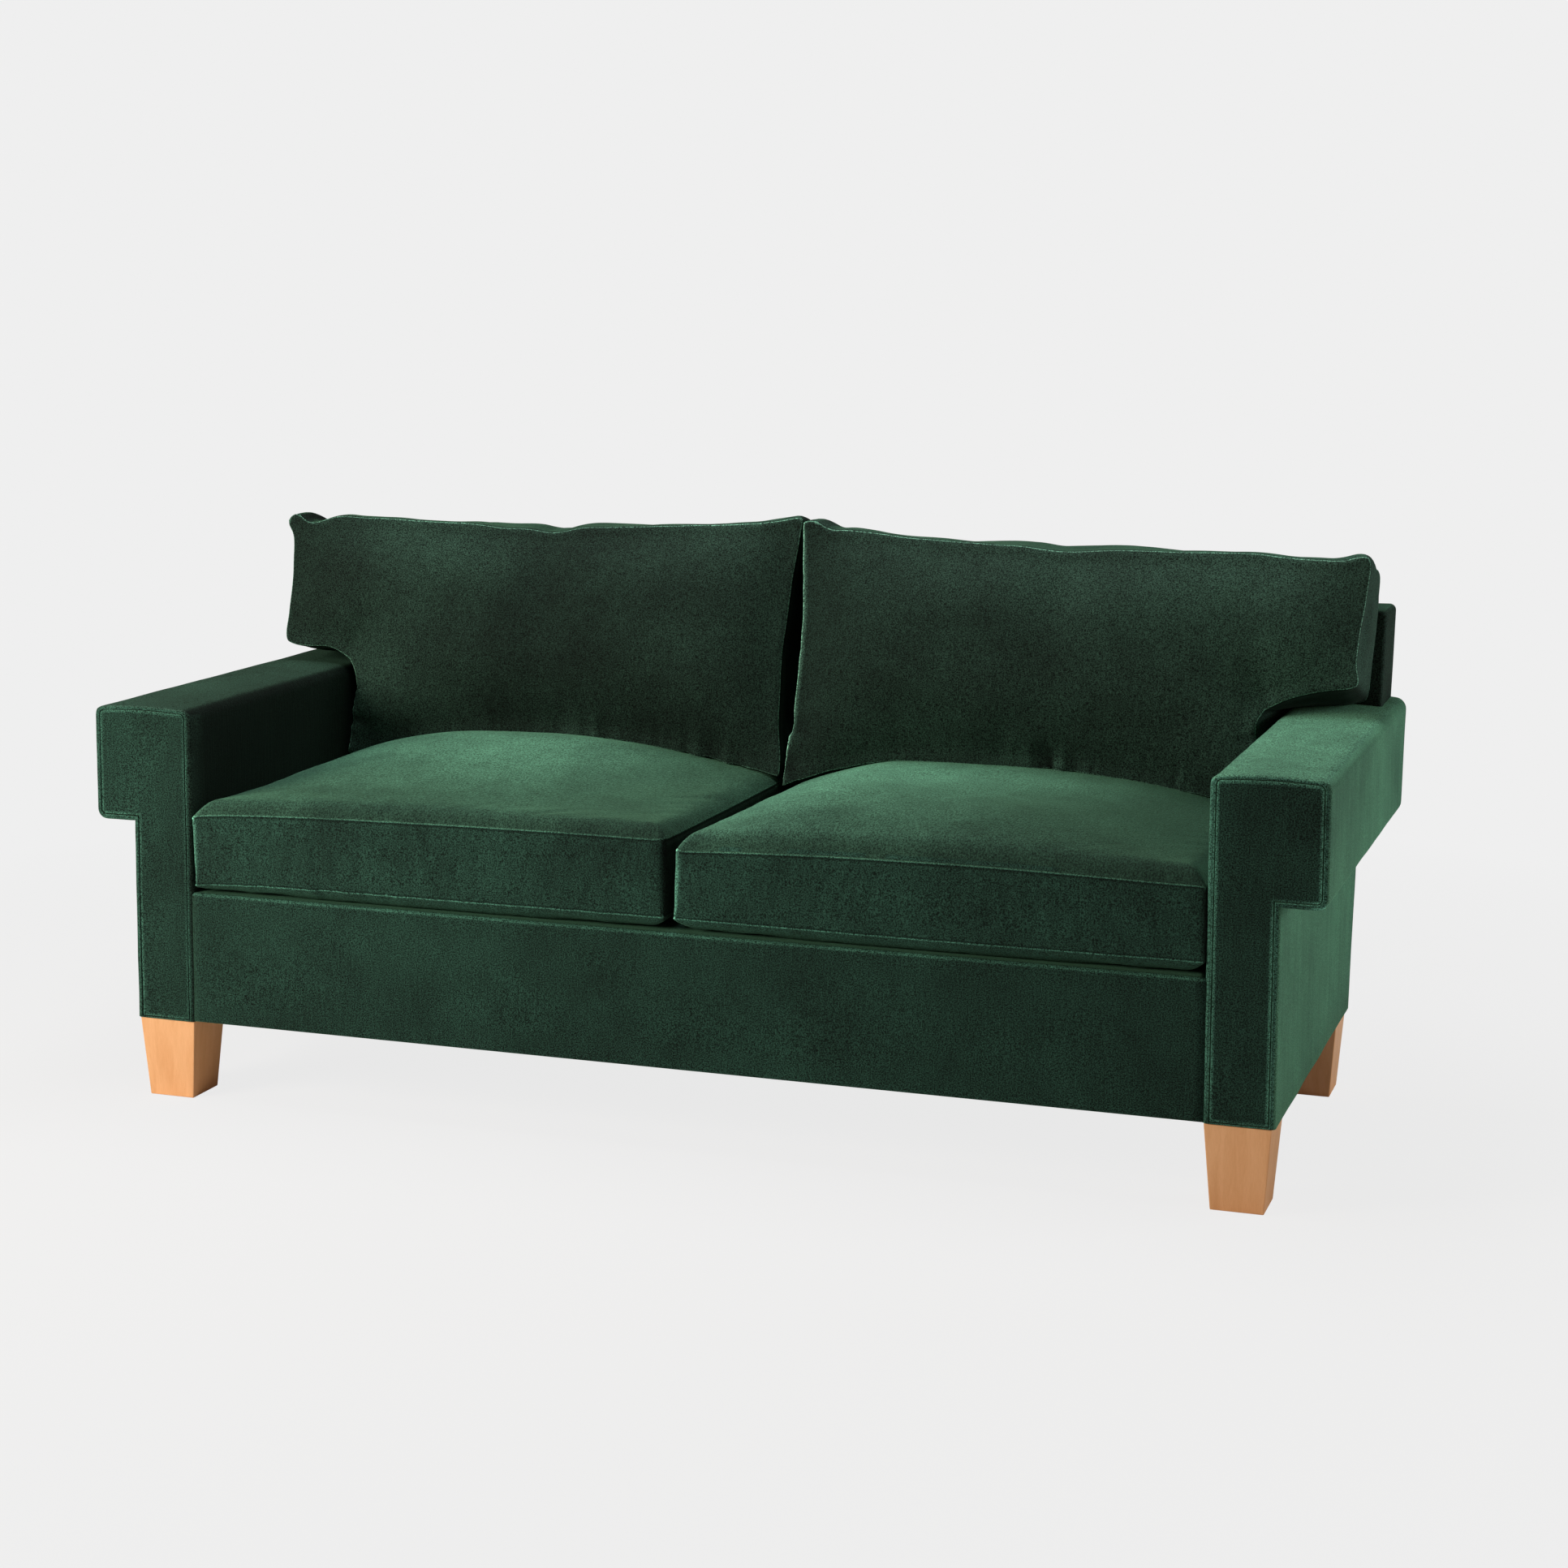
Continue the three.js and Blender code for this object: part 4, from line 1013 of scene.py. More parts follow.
def stuff(piece, rings, held, slack, seam_slack):
    """Fills a cushion: a short cloth simulation whose pressure swells the cover while the velvet near its two
    seams draws in. Held points stay, 0 to 1, and a point moves no further than the slack, or on a seam than
    the seam's. Far from the seams only the broad part of the move is kept, as a stuffed face is smooth."""
    start = points_of(piece)
    seams = [closed(start, rings[0]), closed(start, rings[-1])]
    gathered = near_lines(start, seams, gather_reach)
    cap = slack - (slack - seam_slack) * near_lines(start, seams, slack_reach)
    levels = 20
    for group_name, weights in (("held", held), ("gathered", gathered)):
        group = piece.vertex_groups.new(name=group_name)
        steps = np.round(weights * levels).astype(int)
        for step in np.unique(steps):
            group.add([int(k) for k in np.flatnonzero(steps == step)], step / levels, "REPLACE")
    modifier = piece.modifiers.new("filling", "CLOTH")
    cloth = modifier.settings
    cloth.quality = 6
    cloth.mass = 0.3
    cloth.tension_stiffness = 12
    cloth.compression_stiffness = 12
    cloth.shear_stiffness = 4
    cloth.bending_stiffness = 0.4
    cloth.use_pressure = True
    cloth.uniform_pressure_force = 4
    cloth.effector_weights.gravity = 0
    cloth.vertex_group_mass = "held"
    cloth.pin_stiffness = 1
    cloth.vertex_group_shrink = "gathered"
    cloth.shrink_min = 0
    cloth.shrink_max = 0.09
    modifier.collision_settings.use_collision = False
    modifier.point_cache.frame_start = 1
    modifier.point_cache.frame_end = filling_steps
    for step in range(1, filling_steps + 1):
        bpy.context.scene.frame_set(step)
    shown = piece.evaluated_get(bpy.context.evaluated_depsgraph_get())
    flat = np.empty(len(piece.data.vertices) * 3)
    shown.data.vertices.foreach_get("co", flat)
    move = flat.reshape(-1, 3) - start
    piece.modifiers.remove(modifier)
    piece.vertex_groups.clear()
    bpy.context.scene.frame_set(1)
    edges = np.array([edge.vertices[:] for edge in piece.data.edges])
    links = np.bincount(edges.ravel(), minlength=len(start))[:, None]
    broad = move.copy()
    for _ in range(30):
        total = np.zeros_like(broad)
        np.add.at(total, edges[:, 0], broad[edges[:, 1]])
        np.add.at(total, edges[:, 1], broad[edges[:, 0]])
        broad = total / links
    close = near_lines(start, seams, smooth_reach)[:, None] ** 0.7
    move = broad * (1 - close) + move * close
    far = np.linalg.norm(move, axis=1)
    move *= (cap * np.tanh(far / cap) / np.maximum(far, 1e-9))[:, None]
    move_to(piece, start + move)


def along_lines(points, lines, reach, scale, seed):
    """Noise that changes along the nearest of some lines but not away from it, and fades at the reach."""
    tree = tree_of(np.concatenate([np.asarray(line, float) for line in lines]))
    nearest = [tree.find(point) for point in points]
    places = np.array([found[0][:] for found in nearest])
    far = np.array([found[2] for found in nearest])
    return smooth_noise(places, scale, seed) * np.clip(1 - far / reach, 0, 1) ** 2


def finish_cushion(piece, rings, through):
    """Subdivides a cushion and turns its seams: each gets a line that stands a little proud, with a painted
    highlight along it, and a painted shadow beside it on the boxing, sunk a little. Through is the direction
    from its low panel to its high one."""
    modify(piece, "SUBSURF", levels=1, render_levels=1)
    settle(piece, velvet, 180)
    # After one subdivision the seam's own points are still the first ones of the mesh.
    places = points_of(piece)
    seams = [closed(places, rings[0]), closed(places, rings[-1])]
    on_seam = near_lines(places, seams, 0.0012) > 0.55
    bpy.ops.object.mode_set(mode="EDIT")
    pick("EDGE", lambda edge: on_seam[edge.verts[0].index] and on_seam[edge.verts[1].index])
    bpy.ops.mesh.bevel(offset=seam_bevel, segments=2, profile=1)
    bpy.ops.object.mode_set(mode="OBJECT")
    places = points_of(piece)
    heights = places @ np.asarray(through)
    close = [near_lines(places, [line], seam_line_reach) for line in seams]
    beside = []
    for line, to_boxing, nearness in zip(seams, (1, -1), close):
        tree = tree_of(line)
        line_heights = line @ np.asarray(through)
        level = np.array([line_heights[tree.find(point)[1]] for point in places])
        beside.append(nearness * (to_boxing * (heights - level) > 0.0009))
    close = np.maximum(*close)
    beside = np.maximum(*beside)
    # Painted highlight along each seam, and painted shadow beside it on the boxing.
    write_attribute(piece, "seam", np.clip(3.4 * close - 2.4, 0, 1))
    write_attribute(piece, "shade", np.clip(2.2 * beside - 0.9, 0, 1) * (close < 0.9))
    push_out(piece, 0.0006 * (close > 0.9) - 0.001 * beside)


seat_inner = 0.006
seat_outer = 0.8395
seat_front = -0.005
seat_front_corner = 0.013
seat_back = 0.6608
seat_bottom_z = 0.3523
seat_seam_z = 0.485
# The crown's full height over the seams, where the back cushions come down on it.
seat_crown = 0.089
seat_border = 0.06
seat_roll_out = 0.0085
# For each seat: the reach and fullness with which its top swells from its inner, outer, front and back seam,
# the height of that dome and of the rolled front edge, and how much its seam is lifted at its two ends.
seat_shapes = {
    "left": ((0.418, 1.7), (0.39, 2.7), (0.51, 1.35), (0.20, 2.4), 0.067, 0.020, 0.0125, -0.006),
    "right": ((0.206, 1.55), (0.42, 2.1), (0.35, 3.0), (0.12, 2.7), 0.056, 0.025, -0.004, 0.003),
}


def to_seat_edge(x, y):
    """How far a place on a seat cushion's plan is from its nearest edge."""
    return np.minimum(np.minimum(x - seat_inner, seat_outer - x), np.minimum(y - seat_front, seat_back - y))


def seat_top(name, x, y):
    """The height of a seat cushion's top panel, x across from the sofa's middle and y from its front."""
    inner, outer, front, back, dome, lip, inner_lift, outer_lift = seat_shapes[name]
    dome = dome * swell(x - seat_inner, *inner) * swell(seat_outer - x, *outer)
    dome = dome * swell(y - seat_front, *front) * swell(seat_back - y, *back)
    roll = (0.008 + lip * np.exp(-(y - seat_front) / 0.18)) * swell(to_seat_edge(x, y), 0.035)
    to_inner = np.clip((seat_outer - x) / (seat_outer - seat_inner), 0, 1)
    seam = seat_seam_z + inner_lift * to_inner ** 1.5 + outer_lift * np.exp((x - seat_outer) / 0.05)
    return seam + dome + roll


def round_corners(a, b, radius):
    """Moves points of a square corner onto its arc: a and b are their distances from its two sides."""
    p, q = radius - a, radius - b
    scale = np.maximum(p, q) / np.maximum(np.hypot(p, q), 1e-9)
    near = (a < radius) & (b < radius)
    return np.where(near, radius - p * scale, a), np.where(near, radius - q * scale, b)


def edge_noise(plan, scale, seed):
    """Noise over a plan of (across, along) points."""
    flat = plan.reshape(-1, 2)
    return smooth_noise(np.column_stack([flat, flat[:, 0] * 0]), scale, seed).reshape(plan.shape[:-1])


for name, side in (("left", -1), ("right", 1)):
    columns = round((seat_outer - seat_inner) / cushion_spacing)
    rows = round((seat_back - seat_front) / cushion_spacing)
    filled = np.ones((columns, rows), bool)
    u, v = np.meshgrid(np.linspace(seat_inner, seat_outer, columns + 1),
                       np.linspace(seat_front, seat_back, rows + 1), indexing="ij")
    middle = np.array([(seat_inner + seat_outer) / 2, (seat_front + seat_back) / 2])
    half = np.array([(seat_outer - seat_inner) / 2, (seat_back - seat_front) / 2])
    corner = np.where(v < middle[1], seat_front_corner, cushion_corner)
    in_u, in_v = round_corners(np.minimum(u - seat_inner, seat_outer - u),
                               np.minimum(v - seat_front, seat_back - v), corner)
    x = np.where(u < middle[0], seat_inner + in_u, seat_outer - in_u)
    y = np.where(v < middle[1], seat_front + in_v, seat_back - in_v)
    column_share = (u - seat_inner) / (seat_outer - seat_inner)
    row_share = (v - seat_front) / (seat_back - seat_front)
    y = y + 0.003 * bow(column_share) * (1 - 2 * row_share)
    x = x + 0.006 * np.exp(-(v - seat_front) / 0.012) * column_share ** 12
    plan = relax(np.stack([x, y], axis=-1), filled, 40)
    # The bottom panel rolls out past its seam before it turns under, so its first rows stay near the edge.
    inset = half - np.abs(plan - middle)
    border_share = np.clip(inset / seat_border, 0, 1)
    inset = np.where(inset < seat_border, inset - seat_roll_out * bow(border_share) ** 0.8, inset)
    low_plan = middle + np.sign(plan - middle) * (half - inset)
    low_plan[..., 0] -= 0.007 * column_share ** 8 * (side < 0)

    def seat_low(flat):
        # The left seat's lower seam comes down at its corner beside the arm.
        lift = 0.023 - 0.011 * np.exp((flat[:, 0] - seat_outer) / 0.12) * (side < 0)
        return seat_bottom_z + lift * (1 - swell(to_seat_edge(*flat.T), 0.04))

    def seat_high(flat):
        soft = edge_noise(flat, 0.16, 11 + side)
        return seat_top(name, *flat.T) + 0.003 * soft * swell(to_seat_edge(*flat.T), 0.2)

    def seat_place(points):
        return points * [side, 1, 1] + [0, front_y, 0]

    cushion, panel, rings = boxed_cushion(f"{name}_seat_cushion", filled, low_plan, plan, seat_low, seat_high,
                                          seat_place, 0.0022, 0)
    held = np.full(len(points_of(cushion)), 0.25)
    held[:panel] = np.where(to_seat_edge(*plan.reshape(-1, 2).T) > 0.05, 1, 0.3)
    stuff(cushion, rings, held, slack=0.004, seam_slack=0.0015)
    # Both seams pucker, the lower one most under the left seat's middle.
    places = points_of(cushion)
    top_puckers = along_lines(places, [closed(places, rings[-1])], 0.05, 0.03, 9)
    low_puckers = along_lines(places, [closed(places, rings[0])], 0.03, 0.014, 5 + side)
    low_depth = 0.0022 + 0.003 * hump(places[:, 0] + 0.63, 0.13)
    push_out(cushion, 0.0012 * top_puckers + low_depth * low_puckers)
    finish_cushion(cushion, rings, (0, 0, 1))
    facing = normals_of(cushion)
    upward = np.clip(facing[:, 2], 0, 1) ** 2
    left_corner = np.clip(-facing[:, 0], 0, 1) * np.clip(-facing[:, 1], 0, 1)
    turned_away = np.clip(facing[:, 0], 0, 1) * (1 - upward)
    places = points_of(cushion)
    # Painted light and shade: the crown is lightened most and the front and the side away from the key less,
    # faces turned away are darkened, and the left edges and front left corner get painted highlights; in part
    # this stands for how the pile is brushed.
    to_crown = np.clip((places[:, 1] - front_y - 0.08) / 0.3, 0, 1)
    if side > 0:
        to_arm = np.clip((places[:, 0] - 0.3) / 0.4, 0, 1)
        upward = upward * (0.3 + 0.95 * to_crown) * (1 - 0.97 * to_arm)
        upward = upward * (1 + 1.9 * np.clip(1 - places[:, 0] / 0.25, 0, 1) * (1 - to_crown))
        turned_away = turned_away + 0.2 * np.clip(places[:, 0] / 0.8, 0, 1)
    else:
        upward = upward * (0.2 + 0.8 * to_crown) * (1 - 0.85 * np.clip((places[:, 0] + 0.35) / 0.25, 0, 1))
    left_edge = np.clip(-facing[:, 0], 0, 1) * np.clip(facing[:, 2], 0, 1)
    painted_light_and_shade = 1 + 2.5 * upward + 3 * left_edge - 0.85 * turned_away
    write_attribute(cushion, "pile", painted_light_and_shade + 8 * np.clip(2 * left_corner - 0.35, 0, 1))
    # The tops get the lit copy and the sides turned away the shaded copy: painted light and shade.
    choose_velvet(cushion, lit_faces=lambda normal, middle: normal.z > 0.45,
                  shaded_faces=lambda normal, middle: normal.x > 0.6)
    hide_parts(f"seat_cushion_{name}")
    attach(cushion, f"{name}_seat")

# Back cushions
# Two loose boxed cushions that lean on the back. Each has an ear that passes over its arm, a bottom edge
# cut to the seat cushion's crown, and full feather corners that stand up like a dog's ears.

back_inner = 0.006
back_body = 0.830
back_outer = 0.980
back_top = 0.25
back_depth = 0.168
back_crown = 0.042
back_reach = 0.19
back_rest_gap = 0.0003
ear_clearance = 0.007
tip_clearance = 0.008
arm_top_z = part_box("arm_cover_left")[1].z
back_front_at_arm = rear_y(arm_top_z) - back_thickness
ear_up = ear_clearance / math.cos(rake_angle)
cushion_front_seam_y = rear_y(seat_seam_z + seat_crown) - back_thickness - back_depth / math.cos(rake_angle)


def cushion_bottom(name, x):
    """How far below the arm's top, up the rake, a back cushion's lower edge is."""
    clear_of_seam = seat_seam_z + rake * (seat_back + front_y - cushion_front_seam_y)
    z = np.maximum(seat_top(name, x, cushion_front_seam_y - front_y), clear_of_seam) + tip_clearance
    return (z - arm_top_z - back_depth * math.sin(rake_angle)) / math.cos(rake_angle)


def humps(x, *each):
    """A sum of humps along x, each given as its height, its middle and its width. A dip has a height below
    zero."""
    return sum(height * hump(x - middle, width) for height, middle, width in each)


def top_of_left(x):
    """How much higher than straight the left cushion's top seam is: it sags in the middle, and its inner
    corner stands up, as does the tip of its outer one beyond a dip."""
    inner_corner = 0.021 * np.exp(-np.abs(x) / 0.13)
    return inner_corner + humps(x, (0.005, 0, 0.045), (0.004, 0.2, 0.1), (0.002, 0.29, 0.06),
                                (-0.0125, 0.462, 0.04), (-0.006, 0.55, 0.05), (-0.0195, 0.932, 0.029),
                                (0.009, 0.972, 0.022))


def top_of_right(x):
    """The same for the right cushion, whose top seam dips before its outer corner and rises to its tip."""
    inner_corner = 0.019 * np.exp(-np.abs(x) / 0.07)
    middle_sag = 0.003 * np.clip((x - 0.25) / 0.05, 0, 1)
    return inner_corner - middle_sag + humps(x, (0.006, 0.025, 0.012), (-0.004, 0.062, 0.015),
                                             (0.003, 0.1, 0.06), (-0.0065, 0.475, 0.06), (-0.012, 0.9, 0.075),
                                             (-0.004, 0.935, 0.03), (0.0035, 0.965, 0.018),
                                             (0.004, 0.985, 0.012))


# For each cushion: its side and its top seam, the notch's width and height round the arm, how far its waist
# draws in below the notch, the radius of its ear's top corner, how far its inner edge leans to the right at
# four heights, and how far the ear's lower front seam hangs beside the notch and at its outer end.
back_shapes = {
    "left": (-1, top_of_left, 0.085, 0.085, 0.015, 0.036, (0.008, 0.001, 0.004, 0.012), (0.0085, 0.008)),
    "right": (1, top_of_right, 0.137, 0.06, 0.017, 0.026, (-0.009, 0.001, 0.005, -0.001), (0.003, -0.012)),
}
for name, (side, top_shift, wide, tall, waist, top_corner, leans, hangs) in back_shapes.items():
    body_columns = round((back_body - back_inner) / cushion_spacing)
    ear_columns = round((back_outer - back_body) / cushion_spacing)
    lowest = float(cushion_bottom(name, np.array([0.4]))[0])
    body_rows = round((ear_up - lowest) / cushion_spacing)
    ear_rows = round((back_top - ear_up) / cushion_spacing)
    columns, rows = body_columns + ear_columns, body_rows + ear_rows
    filled = np.ones((columns, rows), bool)
    filled[body_columns:, :body_rows] = False
    across = np.concatenate([np.linspace(back_inner, back_body, body_columns + 1),
                             np.linspace(back_body, back_outer, ear_columns + 1)[1:]])
    x = np.repeat(across[:, None], rows + 1, axis=1)
    bottom = cushion_bottom(name, across)[:, None]
    lower_share = np.clip(np.arange(rows + 1) / body_rows, 0, 1)
    upper_share = np.clip((np.arange(rows + 1) - body_rows) / ear_rows, 0, 1)
    up = bottom + (ear_up - bottom) * lower_share + (back_top - ear_up) * upper_share
    below_ear = (np.arange(rows + 1) < body_rows)[None, :]
    edge_x = np.where(below_ear, back_body, back_outer)
    in_body = (np.arange(columns + 1) <= body_columns)[:, None]
    floor = np.where(in_body, bottom, ear_up)
    near_inner = x - back_inner < edge_x - x
    near_top = back_top - up < up - floor
    a = np.where(near_inner, x - back_inner, edge_x - x)
    b = np.where(near_top, back_top - up, up - floor)
    upper_corner = np.where(near_inner, 0.009, top_corner)
    lower_corner = np.where(in_body & ~near_inner, 0.02, 0.022)
    a, b = round_corners(a, b, np.where(near_top, upper_corner, lower_corner))
    x = np.where(near_inner, back_inner + a, edge_x - a)
    up = np.where(near_top, back_top - b, floor + b)
    height = np.clip((up - bottom) / (back_top - bottom), 0, 1)
    span = (x - back_inner) / (back_outer - back_inner)
    x = x + (0.0115 * bow(height) ** 0.8 - 0.0045) * (1 - span)
    up = up + (top_shift(x) - 0.004 - 0.009 * bow(span)) * height ** 3
    # The ear's outer edge isn't straight: it bellies out low down and draws in under its top corner.
    above_arm = np.clip((up - ear_up) / (back_top - ear_up), 0, 1)
    belly = 0.004 * np.cos(above_arm * 7.2) + 0.020 * hump(above_arm - 0.92, 0.065)
    x = x + belly * span ** 8 * (side < 0)
    rear_plan = relax(np.stack([x, up], axis=-1), filled, 60)

    # The front seam rounds the notch over the arm: its points move from the square corner to an ellipse.
    front_plan = rear_plan.copy()
    for k in range(body_rows + 1):
        drop = ear_up - front_plan[body_columns, k, 1]
        turn = max(tall - drop, 0) / (wide + tall) * math.pi / 2
        leaned = waist * math.exp(-max(drop - tall, 0) / 0.04)
        front_plan[body_columns, k, 0] = back_body - leaned + wide - wide * math.cos(turn)
        if drop <= tall:
            front_plan[body_columns, k, 1] = ear_up - tall + tall * math.sin(turn)
    for k in range(1, ear_columns + 1):
        run = across[body_columns + k] - back_body
        if run <= wide - waist:
            turn = (tall + run * wide / (wide - waist)) / (wide + tall) * math.pi / 2
            front_plan[body_columns + k, body_rows] = (back_body - waist + wide - wide * math.cos(turn),
                                                       ear_up - tall + tall * math.sin(turn))
    # The ear's outer edge leans: its front seam stands out at the top, its rear seam draws in at the bottom.
    ear_height = np.clip((rear_plan[..., 1] - ear_up) / (back_top - ear_up), 0, 1)
    at_outer = np.clip((rear_plan[..., 0] - back_body) / (back_outer - back_body), 0, 1) ** 2
    front_plan[..., 0] += (0.021 * ear_height ** 1.3 - 0.011 if side > 0 else -0.0045) * at_outer
    front_height = np.clip((rear_plan[..., 1] - bottom) / (back_top - bottom), 0, 1)
    near_middle = np.clip(1 - rear_plan[..., 0] / 0.4, 0, 1) ** 2
    front_plan[..., 0] += side * np.interp(front_height, (0, 0.2, 0.5, 1), leans) * near_middle
    front_plan[..., 0] += 0.011 * hump(ear_height, 0.12) * at_outer * (side > 0)
    rear_plan[..., 0] -= 0.010 * (1 - ear_height) * at_outer
    # The lower front seam hangs down onto the seat cushion.
    seat_height = seat_top(name, across, cushion_front_seam_y - front_y)
    bottom_z = arm_top_z + bottom[:, 0] * math.cos(rake_angle) + back_depth * math.sin(rake_angle)
    clear = (bottom_z - seat_height + 0.002) * in_body[:, 0]
    front_plan[..., 1] -= clear[:, None] * np.exp(-(rear_plan[..., 1] - bottom) / 0.05)
    hang = np.interp(front_plan[..., 0], (back_body, back_outer), hangs)
    beside_notch = np.clip((front_plan[..., 0] - back_body + 0.06) / 0.06, 0, 1)
    front_plan[..., 1] -= hang * beside_notch * np.exp(-np.abs(front_plan[..., 1] - ear_up) / 0.06)
    relax(front_plan, filled, 60)
    front_plan += 0.002 * edge_noise(front_plan, 0.07, 51 + side)[..., None]

    def back_low(flat):
        return np.full(len(flat), back_rest_gap)

    def back_high(flat):
        x, up = flat[:, 0], flat[:, 1]
        to_top = back_top + top_shift(x) - 0.009 * bow(x / back_outer) - up
        to_notch = np.hypot(np.maximum(back_body - x, 0), np.maximum(up - ear_up, 0))
        to_bottom = np.where(x < back_body, up - cushion_bottom(name, x), 1)
        rise = np.ones(len(flat))
        for distance in (x - back_inner, back_outer - x, to_top, to_notch + 0.02, to_bottom):
            rise = rise * swell(distance, back_reach)
        soft = edge_noise(flat, 0.15, 31 + side)
        return back_depth + (back_crown + 0.005 * soft) * rise

    def back_place(points):
        x, up, forward = points.T
        return np.column_stack([
            side * x,
            back_front_at_arm + up * math.sin(rake_angle) - forward * math.cos(rake_angle),
            arm_top_z + up * math.cos(rake_angle) + forward * math.sin(rake_angle),
        ])

    cushion, panel, rings = boxed_cushion(f"{name}_back_cushion", filled, rear_plan, front_plan, back_low,
                                          back_high, back_place, 0.003, 0.009)
    held = np.full(len(points_of(cushion)), 0.12)
    held[:panel] = 1
    stuff(cushion, rings, held, slack=0.008, seam_slack=0.0025)
    # The front seam puckers all round, and more finely down the middle of the sofa.
    places = points_of(cushion)
    front_seam = closed(places, rings[-1])
    puckers = along_lines(places, [front_seam], 0.06, 0.03, 9 + side)
    fine_puckers = along_lines(places, [front_seam], 0.03, 0.02, 19 + side) * (np.abs(places[:, 0]) < 0.1)
    push_out(cushion, 0.001 * puckers + 0.0022 * fine_puckers)
    finish_cushion(cushion, rings, (0, -math.cos(rake_angle), math.sin(rake_angle)))
    places = points_of(cushion)
    # The bottom seam is gathered here and there, which throws short creases up the panel.
    low_part = np.clip((0.68 - places[:, 2]) / 0.08, 0, 1)
    tufts = np.clip(0.35 + 2 * smooth_noise(places, 0.11, 3 + side), 0, 1)
    creases = low_part * tufts * along_lines(places, [front_seam], 0.085, 0.018, 9 + side)
    push_out(cushion, 0.0095 * creases)
    # Painted light and shade: the colour darkens higher up, at the outer ear and on faces turned away,
    # follows the key lamp's fall-off across the sofa, and gets a painted highlight beside the middle seam.
    facing = normals_of(cushion)
    level = np.clip((places[:, 2] - 0.62) / 0.3, 0, 1)
    boxing = np.clip(1.6 * np.abs(facing[:, 1]) - 0.4, 0, 1)
    turned_away = np.clip(facing[:, 0], 0, 1) * (side < 0) + np.clip(-facing[:, 2], 0, 1) * 0.8
    left_rim = np.clip(-facing[:, 0], 0, 1) * np.clip(-facing[:, 1], 0, 1)
    outer_ear = np.clip((-0.75 - places[:, 0]) / 0.15, 0, 1)
    painted_light_and_shade = 0.85 - 0.15 * level - 0.2 * outer_ear - 0.68 * turned_away * (1 - boxing)
    if side < 0:
        painted_light_and_shade = painted_light_and_shade * np.interp(places[:, 0], (-0.75, -0.5, -0.1), (1, 0.66, 0.88))
    else:
        painted_light_and_shade = painted_light_and_shade * np.interp(places[:, 0], (0.02, 0.25, 0.55, 0.9), (0.68, 1, 1.1, 1.75))
        beside_middle = near_lines(places, [front_seam], 0.012) * (places[:, 0] < 0.1)
        painted_light_and_shade += 6 * np.clip(2 * left_rim - 0.35, 0, 1) * beside_middle
    # Painted shade: the underside is darkened, as it faces away from the lamps and is looked into.
    painted_light_and_shade *= 1 - 0.8 * np.clip(-2.6 * facing[:, 2] - 0.75, 0, 1)
    # Painted light: the panel is lightened where it rolls back to its top seam.
    painted_light_and_shade *= 1 + 0.6 * np.clip(2 * facing[:, 2] - 0.6, 0, 1) * np.clip(-2.5 * facing[:, 1], 0, 1)
    # The creases get painted light and shade, and the seams a painted highlight.
    on_seam = np.zeros(len(places))
    cushion.data.attributes["seam"].data.foreach_get("value", on_seam)
    write_attribute(cushion, "pile", painted_light_and_shade * (1 + 1.8 * creases) + 0.9 * on_seam)
    # All but the top faces get the shaded copy: painted shade.
    choose_velvet(cushion, shaded_faces=lambda normal, middle: normal.z < 0.93)
    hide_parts(f"back_cushion_{name}")
    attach(cushion, f"{name}_back")

# Studio
# A pale grey sweep: a floor that shows a faint contact shadow and fades into an even background.

background = "#efefef"
fade_start = 1.2
fade_end = 2.6
floor_width = 40

world = bpy.data.worlds.new("studio")
bpy.context.scene.world = world
world.use_nodes = True
world.node_tree.nodes.clear()
ray = add_node(world, "ShaderNodeLightPath")
seen = add_node(world, "ShaderNodeBackground", Color=linear(background), Strength=1)
lit = add_node(world, "ShaderNodeBackground", Color=linear("#f2dcd2"), Strength=0.1)
blend = add_node(world, "ShaderNodeMixShader", in_0=ray.outputs["Is Camera Ray"], in_1=lit.outputs[0],
                 in_2=seen.outputs[0])
add_node(world, "ShaderNodeOutputWorld", Surface=blend.outputs[0])

# Matt background paper: it takes a soft shadow near the sofa, and is an even grey further off.
paper = bpy.data.materials.new("matt grey studio paper")
paper.use_nodes = True
paper.node_tree.nodes.clear()
place = add_node(paper, "ShaderNodeTexCoord").outputs["Object"]
away = add_node(paper, "ShaderNodeVectorMath", {"operation": "LENGTH"}, in_0=place)
fade = add_node(paper, "ShaderNodeMapRange", Value=away.outputs["Value"], From_Min=fade_start,
                From_Max=fade_end, To_Min=0.93, To_Max=1)
ray = add_node(paper, "ShaderNodeLightPath")
to_camera = add_node(paper, "ShaderNodeMath", {"operation": "MULTIPLY"}, in_0=ray.outputs["Is Camera Ray"],
                     in_1=fade.outputs[0])
matt = add_node(paper, "ShaderNodeBsdfDiffuse", Color=linear("#f4f4f4"))
glow = add_node(paper, "ShaderNodeEmission", Color=linear(background))
mixed = add_node(paper, "ShaderNodeMixShader", in_0=to_camera.outputs[0], in_1=matt.outputs[0],
                 in_2=glow.outputs[0])
add_node(paper, "ShaderNodeOutputMaterial", Surface=mixed.outputs[0])
bpy.ops.mesh.primitive_plane_add(size=floor_width, location=(0, 0, 0))
floor = bpy.context.object
floor.name = "studio_floor"
floor.data.materials.append(paper)
floor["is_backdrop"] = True

# Lamps
# A big soft key from the front left, a weak fill from the right, a top light for the seats and a rim from
# the right rear that wakes the pile.


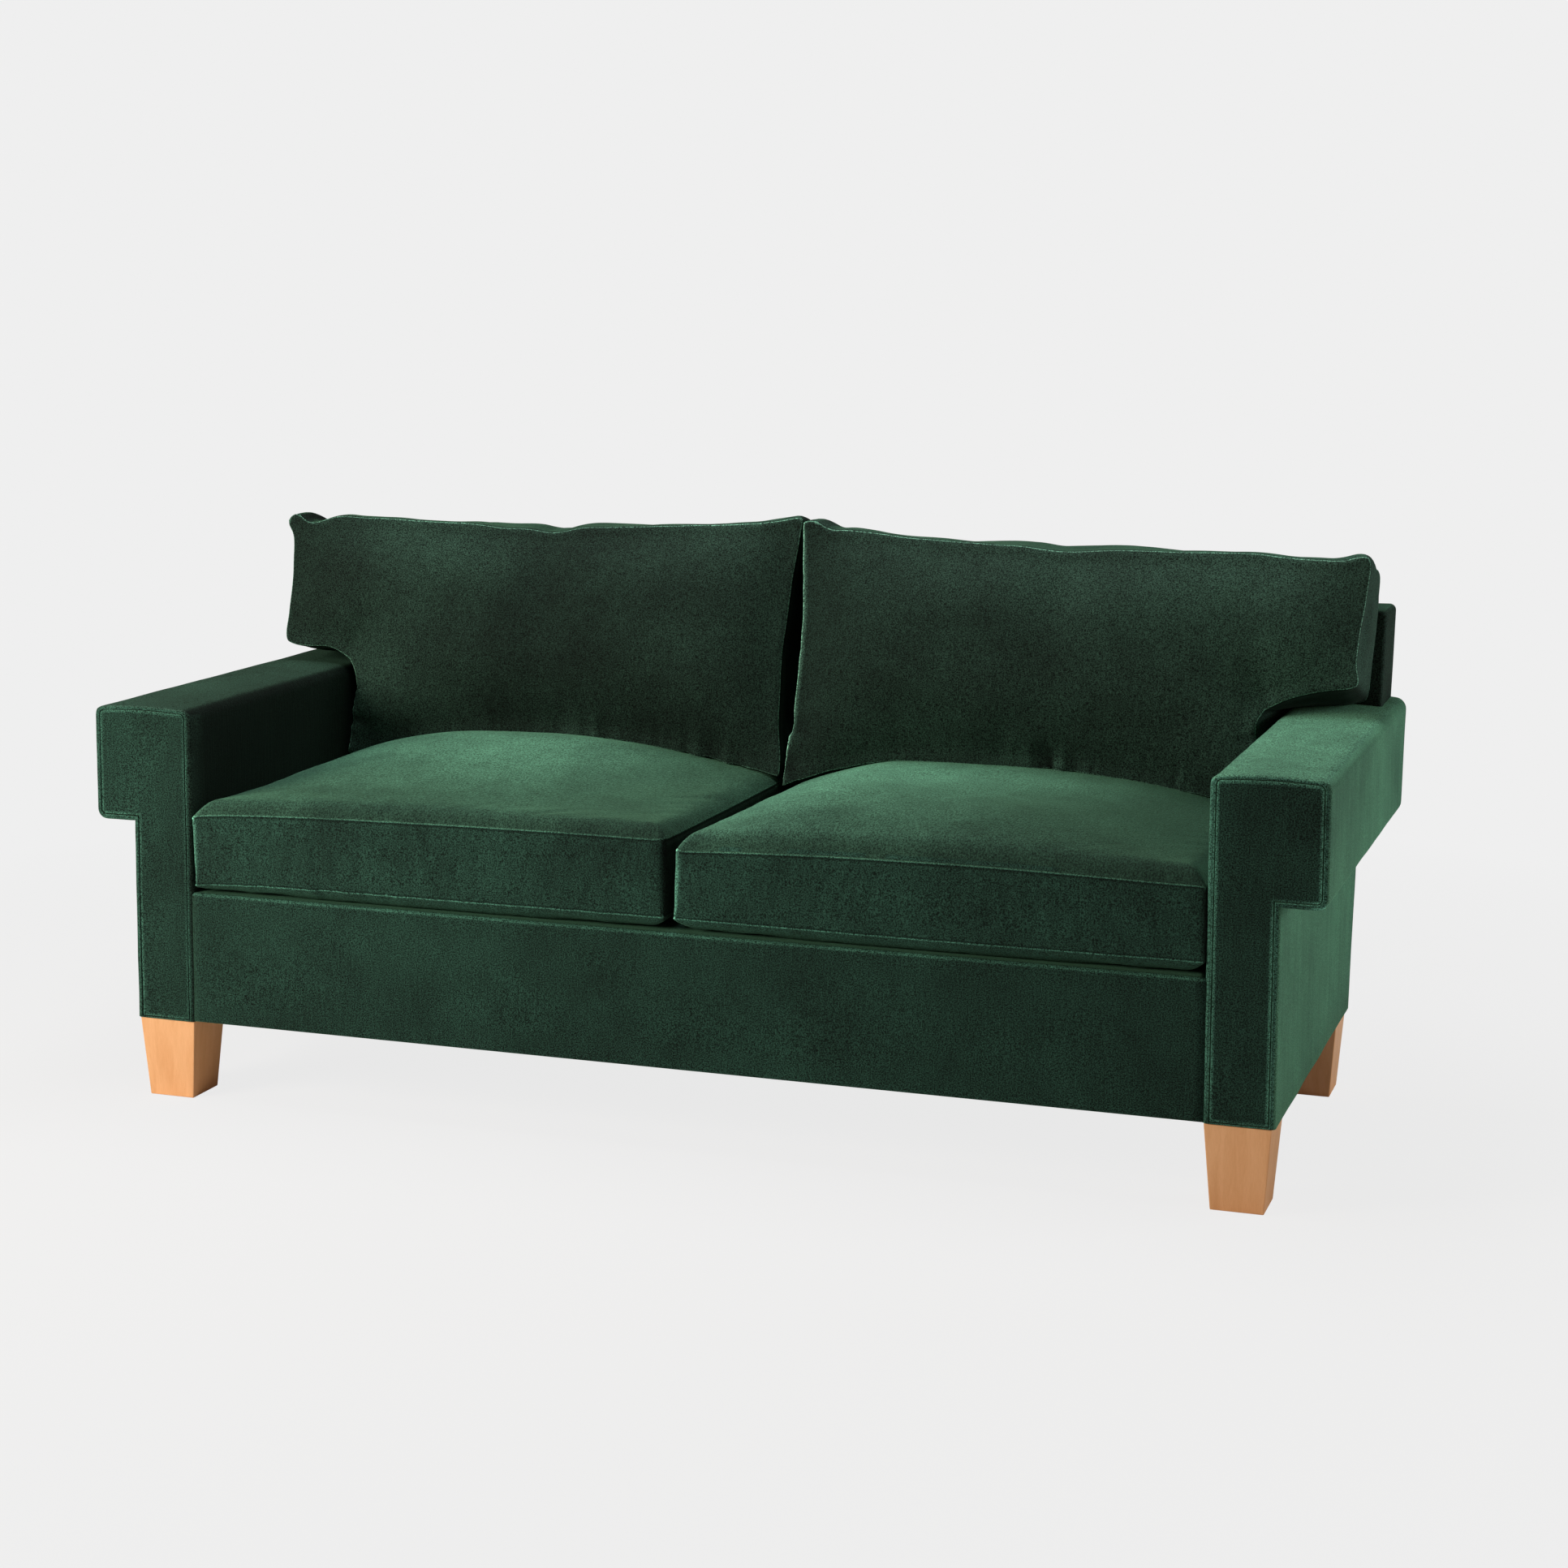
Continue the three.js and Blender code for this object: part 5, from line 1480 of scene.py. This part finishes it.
def area_lamp(name, place, target, width, height, power, colour):
    """A rectangular soft lamp that looks at its target."""
    data = bpy.data.lights.new(name, "AREA")
    data.shape = "RECTANGLE"
    data.size = width
    data.size_y = height
    data.energy = power
    data.color = linear(colour)[:3]
    lamp = bpy.data.objects.new(name, data)
    lamp.location = place
    lamp.rotation_euler = (Vector(target) - Vector(place)).to_track_quat("-Z", "Y").to_euler()
    bpy.context.scene.collection.objects.link(lamp)
    lamp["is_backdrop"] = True


area_lamp("key", (-2.4, -2.45, 1.6), (-0.4, 0, 0.4), 1.2, 1.2, 88, "#fff3e6")
area_lamp("fill", (3.4, -2.4, 1.3), (0.2, 0, 0.4), 1.6, 1.6, 6, "#ffd2c0")
area_lamp("top", (-0.2, 0.1, 2.7), (0.1, 0, 0.45), 2.2, 1.0, 45, "#ffffff")
area_lamp("rim", (3.2, 0.8, 0.9), (0.9, 0, 0.45), 1.2, 1.2, 24, "#ffffff")

# Camera
# It stands where the photograph was taken from, in front of the sofa and out to its right, as a fit to about
# thirty of the sofa's corners gives it. It looks down a little, and its lens is shifted down as well.

azimuth = math.radians(18.76)
elevation = math.radians(6.995)
roll = math.radians(0.3126)
focal_length = 67.561
sensor_width = 36
downward_shift = 0.1085
viewpoint = Vector((1.60862, -4.64019, 1.40372))

away_axis = Vector((math.sin(azimuth) * math.cos(elevation), -math.cos(azimuth) * math.cos(elevation),
                    math.sin(elevation)))
right_axis = (-away_axis).cross(Vector((0, 0, 1))).normalized()
up_axis = right_axis.cross(-away_axis)
rolled_right = right_axis * math.cos(roll) + up_axis * math.sin(roll)
rolled_up = up_axis * math.cos(roll) - right_axis * math.sin(roll)
lens = bpy.data.cameras.new("photo camera")
lens.sensor_width = sensor_width
lens.lens = focal_length
lens.shift_y = -downward_shift
camera = bpy.data.objects.new("photo camera", lens)
turned_view = Matrix((rolled_right, rolled_up, away_axis)).transposed().to_4x4()
camera.matrix_world = Matrix.Translation(viewpoint) @ turned_view
bpy.context.scene.collection.objects.link(camera)
bpy.context.scene.camera = camera
camera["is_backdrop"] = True
bpy.context.scene.view_settings.view_transform = "Standard"

low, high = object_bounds()
